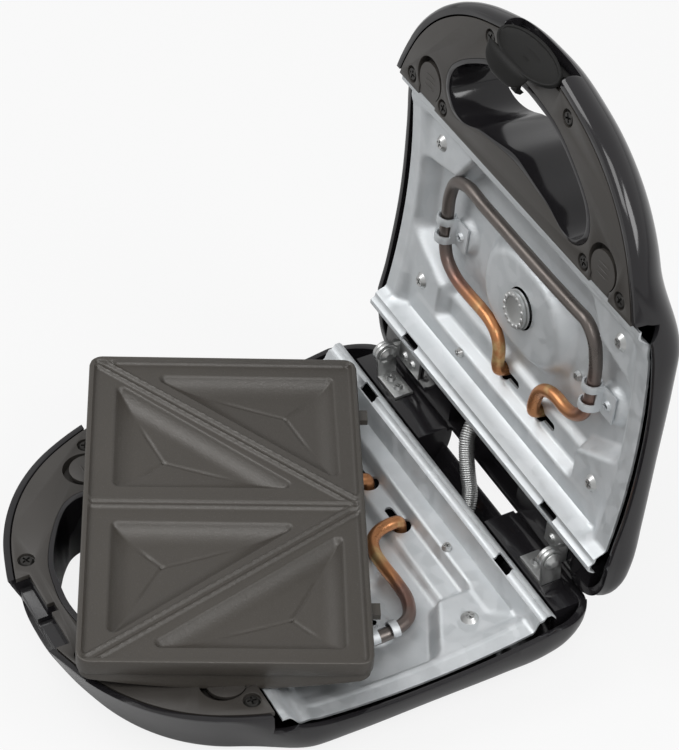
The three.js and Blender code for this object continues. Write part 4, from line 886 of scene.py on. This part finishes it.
def tube(name, line, radius, place, sides=28):
    rings = []
    normal = Vector((1, 0, 0))
    for index, spot in enumerate(line):
        heading = (line[min(index + 1, len(line) - 1)] - line[max(index - 1, 0)]).normalized()
        normal = (normal - heading * normal.dot(heading)).normalized()
        other = heading.cross(normal)
        rings.append([spot + normal * one + other * two for one, two in circle(0, 0, radius, sides)])
    return loft(name, rings, place)


def makeHeater(half, place):
    def shifted(x):  # the legs stand to one side of the middle, the loop to the other
        return mix(leg["shift"], clip["shift"], ease(*heater["shiftBy"], x))

    def arm(side):
        return [(side * x * heater["halfWidth"] + shifted(x), heater["rear"] + v * heater["length"],
                 heater["top"] + d * heater["drop"]) for x, v, d in heaterShares]
    path = smoothLine(arm(-1)[:-1] + arm(1)[-2::-1], heater["parts"], closed=False)
    made = tube("heater." + half, path, heater["radius"], place)
    runs = [0.0]
    for before, after in zip(path, path[1:]):
        runs.append(runs[-1] + (after - before).length)
    heat = made.data.uv_layers.new(name="heat")
    sides = len(made.data.vertices) // len(path)
    for corner in made.data.loops:  # how far from the nearer end of the element, in tenths of a metre
        run = runs[corner.vertex_index // sides]
        heat.data[corner.index].uv = (min(run, runs[-1] - run) / heater["heatSpan"], 0.5)
    finish(made, "heatedSteel", 0, [half + "_heater"], degrees=60)


# the loose plate with its four pockets
platePlace = Matrix.Translation((-15.5, -127.374, 9.6)) @ (
    Matrix.Rotation(math.radians(154.9), 4, "Z") @ Matrix.Rotation(math.radians(1.78), 4, "Y")
    @ Matrix.Rotation(math.radians(3.04), 4, "X"))
plate = {"length": 221.3, "width": 138.8, "corner": 7.0, "cornerLeast": 1.5, "rim": 3.2,
         "rimSlope": (-0.9, 1.1), "panel": 2.5, "sheet": 2.6, "wall": 8.9, "skirt": 2.6, "bow": 7.0,
         "grid": 0.82, "drawn": 0.8, "drawnUnder": 3.4, "ridge": 1.5, "ridgeWidth": 1.05,
         "ridgeStart": (-0.6, 0.8), "divider": 2.1, "spread": 2.4}
pocket = {"depth": 8.6, "slope": 11.5, "power": 2.3, "round": 3.3, "edge": 1.0, "crease": 0.8,
          "creaseStart": 6.0, "creaseRun": 14.0, "groove": 0.7, "grooveWidth": 0.75, "grooveStart": -0.5,
          "grooveFade": (0.56, 0.3)}
pocketShares = [[(-0.8, 0.113), (-0.8, 0.84), (0.56, 0.113)],
                [(0.825, 0.892), (0.836, 0.165), (-0.56, 0.892)]]
sideLine = [(0.35, -0.12), (0.1, -0.4), (0, -0.8), (0, -7.9), (0.2, -8.3), (0.8, -8.6), (1.5, -8.8)]
skirtLine = [(1.5, 2.2), (0.9, 0.5), (1.1, 0.1), (1.6, 0), (3.1, 0), (3.4, 0.4)]  # drawn in, lifted
lug = {"x": 70.5, "width": 8.0, "reach": 4.5, "root": 1.5, "top": -4.0, "height": 3.0}
notch = {"x": 82.8, "width": 12.0, "reach": 3.0, "root": 1.4}


def pocketShapes():
    found = []
    for side in (-1, 1):
        for shares in pocketShares:
            corners = [Vector((side * b * plate["length"] / 2, -a * plate["width"] / 2)) for a, b in shares]
            middle = (corners[0] + corners[1] + corners[2]) / 3
            edges = []
            for start, end in zip(corners, corners[1:] + corners[:1]):
                out = Vector((end.y - start.y, start.x - end.x)).normalized()
                edges.append((start, out if out.dot(middle - start) < 0 else -out))
            sides = [(corners[index - 2] - corners[index - 1]).length for index in range(3)]
            heart = sum((corner * length for corner, length in zip(corners, sides)), Vector((0, 0)))
            drawn = []
            for index, corner in enumerate(corners):
                one = (corners[index - 1] - corner).normalized()
                other = (corners[index - 2] - corner).normalized()
                half = math.acos(one.dot(other)) / 2
                drawn.append(corner + (one + other).normalized() * pocket["round"] / math.sin(half))
            found.append((corners, edges, drawn, heart / sum(sides)))
    return found


pockets = pocketShapes()


def pocketReach(spot, edges, drawn):  # distance to the rounded outline of a pocket, negative inside
    radius = pocket["round"]
    deepest = max((spot - start).dot(out) + radius for start, out in edges)
    if deepest <= 0 or deepest > 2 * radius:
        return deepest - radius
    found = []
    for start, end in zip(drawn, drawn[1:] + drawn[:1]):
        run = end - start
        share = min(1.0, max(0.0, (spot - start).dot(run) / run.length_squared))
        found.append((spot - start - run * share).length)
    return min(found) - radius


def ridgeAt(off):
    return math.exp(-(off / plate["ridgeWidth"]) ** 2)


def plateHeight(x, y):  # upper face of the plate
    halfLong, halfWide, rim = plate["length"] / 2, plate["width"] / 2, plate["rim"]
    edge = min(halfLong - abs(x), halfWide - abs(y)) - rim
    height = mix(0.0, -plate["panel"], ease(*plate["rimSlope"], edge))
    slope = math.atan2(plate["width"] - 2 * rim, halfLong - rim)
    off = abs(math.cos(slope) * y - math.sin(slope) * (abs(x) - halfLong / 2))
    ridge = max(ridgeAt(off - plate["spread"]), ridgeAt(abs(x) - plate["divider"]))
    height += plate["ridge"] * ease(*plate["ridgeStart"], edge) * ridge
    spot = Vector((x, y))
    for corners, edges, drawn, heart in pockets:
        reach = pocketReach(spot, edges, drawn)
        if reach > pocket["edge"]:
            continue
        share = min(1.0, max(0.0, -reach / pocket["slope"]))
        floor = mix(-plate["panel"], -pocket["depth"], 1 - (1 - share) ** pocket["power"])
        floor -= pocket["crease"] * min(1.0, max(0.0, (-reach - pocket["creaseStart"]) / pocket["creaseRun"]))
        out = spot - heart
        for corner in corners:
            arm = corner - heart
            along = out.dot(arm) / arm.length
            if along > pocket["grooveStart"]:
                beside = abs(out.x * arm.y - out.y * arm.x) / arm.length
                floor -= (pocket["groove"] * ease(*pocket["grooveFade"], along / arm.length)
                          * math.exp(-(beside / pocket["grooveWidth"]) ** 2))
        height = mix(height, floor, ease(pocket["edge"], -pocket["edge"], reach))
    return height


def makePlate():
    def extent(y, halfLong, halfWide, corner):
        over = max(0.0, abs(y) - (halfWide - corner))
        return halfLong - corner + math.sqrt(max(0.0, corner * corner - over * over))

    def inset(amount):  # the same grid, drawn in by an amount
        halfLong, halfWide = plate["length"] / 2 - amount, plate["width"] / 2 - amount
        corner = max(plate["cornerLeast"], plate["corner"] - amount)
        return [(share * extent(row * halfWide, halfLong, halfWide, corner), row * halfWide)
                for row in rows for share in columns]

    def place(x, y, z):
        return toWorld(platePlace @ Vector((x, y, z)))

    def skirtAt(y):
        share = min(1.0, abs(2 * y / plate["width"]))
        return -plate["wall"] - plate["skirt"] - plate["bow"] * (1 - share * share)

    columns, rows = (steps(-1.0, 1.0, round(plate[key] / plate["grid"])) for key in ("length", "width"))
    wide, count = len(columns), len(columns) * len(rows)
    rim = gridRim(wide, len(rows))
    points = [place(x, y, plateHeight(x, y)) for x, y in inset(plate["drawn"])]
    points += [place(x, y, plateHeight(x, y) - plate["sheet"]) for x, y in inset(plate["drawnUnder"])]
    faces = []
    for corner in range(count - wide):
        column = corner % wide
        if column + 1 < wide:
            face = (corner, corner + 1, corner + wide + 1, corner + wide)
            if columns[column] < 0:  # split along the other way, as the ridge runs
                face = face[1:] + face[:1]
            faces += [face[:3], (face[0], *face[2:])]
            faces += [tuple(count + index for index in reversed(part)) for part in faces[-2:]]
    rings = [rim]
    for profile, skirted in ((sideLine, 0), (skirtLine, 1)):
        for amount, height in profile:
            line = inset(amount)
            rings.append(list(range(len(points), len(points) + len(rim))))
            points += [place(*line[index], height + skirted * skirtAt(line[index][1])) for index in rim]
    rings.append([count + index for index in rim])
    for low, high in zip(rings, rings[1:]):
        for index in range(len(rim)):
            faces.append((low[index], low[index - 1], high[index - 1], high[index]))
    made = shape("plate", points, faces)
    lugs, notches = [], []
    half, low = plate["width"] / 2, lug["top"] - lug["height"]
    for side in (-1, 1):
        x, wide = side * lug["x"], lug["width"] / 2
        lugs.append(block("lug", (x - wide, -half - lug["reach"], low),
                          (x + wide, lug["root"] - half, lug["top"]), place))
        x, wide = side * notch["x"], notch["width"] / 2
        notches.append(block("notch", (x - wide, half - notch["root"], low),
                             (x + wide, half + notch["reach"], lug["top"]), place))
    carve(made, lugs, "UNION")
    carve(made, notches)
    finish(largest(made), "coatedPlate", 0, ["sandwich_plate"], degrees=50)


# the latch hangs in the front of the lid's handle
faceLine = [(1.2, -3.0), (0.4, -2.7), (0, -2.1), (0, -0.45), (0.25, -0.1), (0.6, 0), (latch["rim"] - 0.35, 0),
            (latch["rim"], -0.15), (latch["rim"] + 0.35, -0.6), (latch["rim"] + 1.0, -latch["rimHeight"])]
lipShares = [(0.179, 0.662), (0.237, 0.789), (0.449, 0.944), (0.643, 1), (0.7, 0.93), (0.662, 0.838),
             (0.449, 0.789), (0.304, 0.634), (0.232, 0.528)]
nibShares = [(0.087, -0.014), (0.087, 0.282), (0.498, 0.472), (0.932, 0.563), (1, 0.366), (0.952, 0.239),
             (0.874, 0.394), (0.498, 0.303), (0.304, 0.07)]
armLine = [(231.5, 6.0), (237.3, 6.0), (238.5, -0.5), (235.7, -5.1), (233.7, -2.9)]


def latchPlace(x, v, s):
    return lidPlace(x, v, s - lidPlane)


def facePlace(x, y, z):  # x across, y up the oval face, z out of it
    tilt = math.radians(latch["tilt"])
    return latchPlace(x, latch["middle"] + z * math.cos(tilt) + y * math.sin(tilt),
                      latch["height"] - z * math.sin(tilt) + y * math.cos(tilt))


def makeLatch():
    wide, tall, middle, half = (latch[key] for key in ("halfWidth", "halfHeight", "middle", "armHalf"))
    rings = [[((wide - shrink) * x, (tall - shrink) * y, z) for x, y in circle(0, 0, 1, 96)]
             for shrink, z in faceLine]
    rim = rings[-1]
    for share in (0.75, 0.45, 0.15):  # a slight dish
        sunk = latch["rimHeight"] + latch["dish"] * (1 - share)
        rings.append([(x * share, y * share, -sunk) for x, y, z in rim])
    face = loft("latch", rings, facePlace)
    reach, drop = latch["reach"], latch["drop"]
    lipLine = smoothLine([(middle - v * reach, -s * drop) for v, s in lipShares], 4)
    root = (middle - latch["lipRoot"][0] * reach, -latch["lipRoot"][1] * drop)
    lip = []
    for share in steps(-1.0, 1.0, 2 * latch["lipParts"]):  # the scoop grows out and back across the latch
        grow = max(latch["lipLeast"], 1 - abs(share) ** latch["lipPower"]) ** 0.5
        x = latch["lipMiddle"] + share * latch["lipHalf"]
        lip.append([(x, mix(root[0], v, grow), mix(root[1], s, grow)) for v, s in lipLine])
    nibLine = [(middle - v * reach * latch["nibReach"], -s * drop) for v, s in nibShares]
    pin = latch["pinForward"], latch["pinHeight"]
    carve(face, [loft("lip", lip, latchPlace),
                 across("nib", nibLine, -latch["nibHalf"], latch["nibHalf"], latchPlace),
                 across("barrel", circle(*pin, latch["barrel"], 32), -half, half, latchPlace),
                 across("arm", armLine, -half, half, latchPlace)], "UNION")
    carve(face, [across("bore", circle(*pin, latch["bore"], 24), -2 * wide, 2 * wide, latchPlace)])
    finish(largest(face), "matteBlack", latch["edge"], ["latch"], degrees=38)


# screws, all from one tree
screwKeys = ("headRadius", "faceRadius", "headHeight", "crossReach", "crossWidth")
screws = {"cover": (3.95, 2.9, 1.45, 2.3, 1.0), "tray": (4.5, 2.6, 2.0, 2.1, 0.9),
          "small": (2.75, 1.9, 2.0, 1.5, 0.7), "bracket": (2.7, 1.8, 1.5, 1.5, 0.7)}
screwEdge = {"width": 0.16, "degrees": 25}
proud = {"cover": 0.15, "tray": 2.0, "small": 2.2, "bracket": 1.5}  # how far a head stands out or is sunk
smallSpots = {"base": [("shelf", -39.0, 31.8)], "lid": [("shelf", -39.0, 31.8), ("recess", 47.0, 79.0)]}


def screwHeads(name, kind, spots, half, look):
    sizes = {key: value * mm for key, value in zip(screwKeys, screws[kind])}
    return screwTree.made(name, [places[half](*spot) for spot in spots], turn=turns[half],
                          finish=finishes[look], **sizes)


def screwRow(name, kind, names, spots, half, look):  # all screws of one kind on one body
    made = screwHeads(name, kind, spots, half, look)
    roundEdges(made, screwEdge["width"], screwEdge["degrees"], corners="MITER_SHARP")
    smoothed(made.data, 35)
    settle(made, *names)


def makeScrews(half):
    names = [name for name in nodes if name.startswith(half + "_cover_screw")]
    spots = [(side * x, v, proud["cover"]) for x, v in coverScrews for side in (-1, 1)]
    screwRow(half + ".coverScrews", "cover", names, spots, half, "blackScrew")
    words = ("front_left", "front_right", "rear_left", "rear_right")
    names = [half + "_tray_screw_" + word for word in words]
    spots = [(side * x, v, trayDepth(x, v) - proud["tray"]) for x, v in tray["screws"] for side in (-1, 1)]
    screwRow(half + ".trayScrews", "tray", names, spots, half, "brightZinc")
    names = [half + "_tray_screw_" + word for word, x, v in smallSpots[half]]
    spots = [(x, v, trayDepth(x, v) - proud["small"]) for word, x, v in smallSpots[half]]
    screwRow(half + ".smallScrews", "small", names, spots, half, "brightZinc")


button = {"x": 81.0, "middle": 172.6, "radius": 9.9, "half": 7.6, "rear": 162.6, "top": 0.35,
          "thickness": 2.2, "edge": 0.35, "pitch": 3.0, "rib": (4.5, 0.55, 0.45), "sides": 72}


def makeButtons(half, place):
    low = button["top"] + button["thickness"]
    for side, word in zip((-1, 1), ("left", "right") if half == "lid" else ("right", "left")):
        x, middle, top = side * button["x"], button["middle"], button["top"]
        disc = peg("button", x, middle, button["radius"], top, low, place, button["sides"])
        stem = block("stem", (x - button["half"], button["rear"], top), (x + button["half"], middle, low),
                     place)
        carve(disc, [stem], "UNION")
        finish(disc, "satinGrey", button["edge"], [], degrees=35)
        spots = [place(x, middle + row * button["pitch"], top) for row in (-1, 0, 1)]
        ribs = beadTree.made("ribs", spots, size=tuple(part * mm for part in button["rib"]), turn=turns[half],
                             finish=finishes["satinGrey"])
        joinPieces(disc, ribs)
        disc.name = "button." + half + "." + word
        smoothed(disc.data, 35)
        settle(disc, half + "_release_button_" + word)


# the sprung cap of the thermostat, turned about its axis
cap = {"face": 14.3, "neck": 9.7, "wide": 10.3, "foot": 9.1, "stem": 3.0, "stemEnd": 24.6, "centre": 0.6,
       "sides": 72, "beads": 14, "beadRing": 8.2, "beadDepth": 0.1, "bead": (1.15, 1.15, 0.75)}
capLine = [(cap["centre"], 0.5), (6.4, 0.5), (7.0, 0.35), (7.5, 0), (8.9, 0), (9.6, 0.3),  # radius, depth
           (cap["neck"], 0.9), (cap["neck"], 1.6), (9.2, 1.9), (9.2, 2.1), (cap["wide"], 2.4),
           (cap["wide"], 3.3), (9.9, 3.7), (cap["foot"], 3.8), (cap["stem"], 3.8)]


def makeCap():
    profile = [(radius, cap["face"] + depth) for radius, depth in capLine]
    profile += [(cap["stem"], cap["stemEnd"]), (cap["centre"], cap["stemEnd"])]
    rings = [[(x, v, depth) for x, v in circle(0, plateau["v"], radius, cap["sides"])]
             for radius, depth in profile]
    disc = finish(loft("thermostatCap", rings, lidPlace), "brightZinc", 0, [], degrees=30)
    spots = [lidPlace(x, v, cap["face"] + cap["beadDepth"])
             for x, v in circle(0, plateau["v"], cap["beadRing"], cap["beads"])]
    joinPieces(disc, beadTree.made("beads", spots, size=tuple(part * mm for part in cap["bead"]),
                                   turn=turns["lid"], finish=finishes["brightZinc"]))
    smoothed(disc.data, 30)
    settle(disc, "thermostat_cap")


# the sprung sleeve for the wires, drawn as one still piece curved where the lid turns
conduit = {"core": 3.2, "winding": 3.5, "wire": 0.62, "turns": 62, "parts": 8, "sides": 20,
           "bendStart": (5, 0, -16), "bendEnd": (-10, 9, 6)}
conduitLine = [(-14, 27, 10), (-12, 18, 9.5), (-10, 10, 7.5), (-7, 5, 2.5), (-3, 2.5, -4.5), (2.5, 0.5, -13),
               (8.5, -1.5, -21.5), (13, -6, -28), (15, -12, -31)]


def makeConduit():
    line = smoothLine(conduitLine, conduit["parts"], closed=False)
    core = tube("wireConduit", line, conduit["core"], lambda *point: toWorld(point), sides=conduit["sides"])
    core.data.materials.append(finishes["brightZinc"])
    edges = [(index, index + 1) for index in range(len(line) - 1)]
    joinPieces(core, sleeveTree.made("coil", [toWorld(spot) for spot in line], edges=edges,
                                     turns=conduit["turns"], radius=conduit["winding"] * mm,
                                     wire=conduit["wire"] * mm, finish=finishes["brightZinc"]))
    smoothed(core.data, 50)
    tuple(toWorld(conduit["bendStart"]))
    tuple(toWorld(conduit["bendEnd"]))
    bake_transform(core)
    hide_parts("wire_conduit")
    slotOf("wire_conduit")


bracket = {"inner": 65.5, "lug": 85.36, "out": 1.0, "sheet": 2.0, "gap": 0.3, "radius": 6.4, "half": 5.4,
           "depth": 9.4, "thick": 1.6, "bore": 2.8, "reach": 3.0, "sides": 56, "edge": 0.35,
           "screws": (72.0, 80.0)}


def makeBrackets(half, place):  # each a plate with an upright lug, screwed to its tower
    plane, flip = (basePlane, -1) if half == "base" else (-lidPlane, 1)
    wide, low, high = bracket["half"], bracket["depth"], bracket["depth"] + bracket["thick"]
    for side, word in ((-1, "left"), (1, "right")):
        name = half + "_hinge_bracket_" + word
        start = side * bracket["lug"] - bracket["out"]
        if half == "lid":  # the lid's lug stands inside the base's
            start -= bracket["sheet"] + bracket["gap"]
        left, right = sorted((flip * start, flip * (start + bracket["sheet"])))
        end = start + (bracket["sheet"] if side > 0 else 0)
        sheet = sorted((flip * side * bracket["inner"], flip * end))
        made = block("bracket." + name, (sheet[0], -wide, low), (sheet[1], wide, high), place)
        tip, bore = (circle(0, plane, bracket[key], bracket["sides"]) for key in ("radius", "bore"))
        carve(made, [block("lug", (left, -wide, plane), (right, wide, high), place),
                     across("tip", tip, left, right, place)], "UNION")
        carve(made, [across("bore", bore, left - bracket["reach"], right + bracket["reach"], place)])
        finish(made, "brightZinc", bracket["edge"], [], degrees=35)
        spots = [(flip * side * x, 0, low - proud["bracket"]) for x in bracket["screws"]]
        joinPieces(made, screwHeads("heads", "bracket", spots, half, "brightZinc"))
        smoothed(made.data, 35)
        settle(made, name)


for half, place in places.items():
    makeShell(half, place)
    makeCover(half, place)
    makeTray(half, place)
    makeHeater(half, place)
print("case, covers, trays and heaters made")
makePlate()
makeLatch()
for half, place in places.items():
    makeScrews(half)
    makeButtons(half, place)
makeCap()
makeConduit()
for half, place in places.items():
    makeBrackets(half, place)
print("plate, latch, screws, buttons, brackets, cap and conduit made")
for name in sorted(nodes):
    if not nodes[name].hide_render:
        dress(name)
print("solids dressed")


# studio
studio = {"sky": 0.6, "floorReach": 6.0, "floorGrey": 0.5, "floorGlow": 0.85, "aim": (0, 0, 0.1)}
lamps = {"keyLamp": ((-0.9, -0.9, 1.7), 1.2, 18), "topLamp": ((0.85, -0.45, 1.9), 1.0, 13),
         "sideLamp": ((1.35, 0.75, 1.4), 0.9, 15)}  # place, size and power
world = bpy.data.worlds.new("studio")
bpy.context.scene.world = world
world.use_nodes = True
world.node_tree.nodes["Background"].inputs["Color"].default_value = (1, 1, 1, 1)
world.node_tree.nodes["Background"].inputs["Strength"].default_value = studio["sky"]


def makeFloor():
    reach = studio["floorReach"]
    corners = [(-reach, -reach, 0), (reach, -reach, 0), (reach, reach, 0), (-reach, reach, 0)]
    mesh = bpy.data.meshes.new("floor")
    mesh.from_pydata(corners, [], [(0, 1, 2, 3)])
    stand("floor", mesh)
    paper = Look("paper")
    glow = paper.add("ShaderNodeEmission", {}, {"Color": (1, 1, 1, 1), "Strength": 1.0})
    seen = paper.add("ShaderNodeLightPath", {}, {}, "Is Camera Ray")
    paper.surface.inputs["Base Color"].default_value = (*[studio["floorGrey"]] * 3, 1)
    paper.surface.inputs["Roughness"].default_value = 0.9
    sheet = Flow(paper, paper.surface.outputs[0])
    blend = paper.add("ShaderNodeMixShader", {}, {0: seen * studio["floorGlow"], 1: sheet, 2: glow})
    paper.feed(paper.end.inputs["Surface"], blend)
    mesh.materials.append(paper.material)


makeFloor()
for name, (place, size, power) in lamps.items():
    light = bpy.data.lights.new(name, "AREA")
    light.size, light.energy = size, power
    made = stand(name, light)
    made.location = place
    made.rotation_mode = "QUATERNION"
    made.rotation_quaternion = (Vector(place) - Vector(studio["aim"])).to_track_quat("Z", "Y")
bpy.context.scene.view_settings.view_transform = "Standard"
print("studio lit")
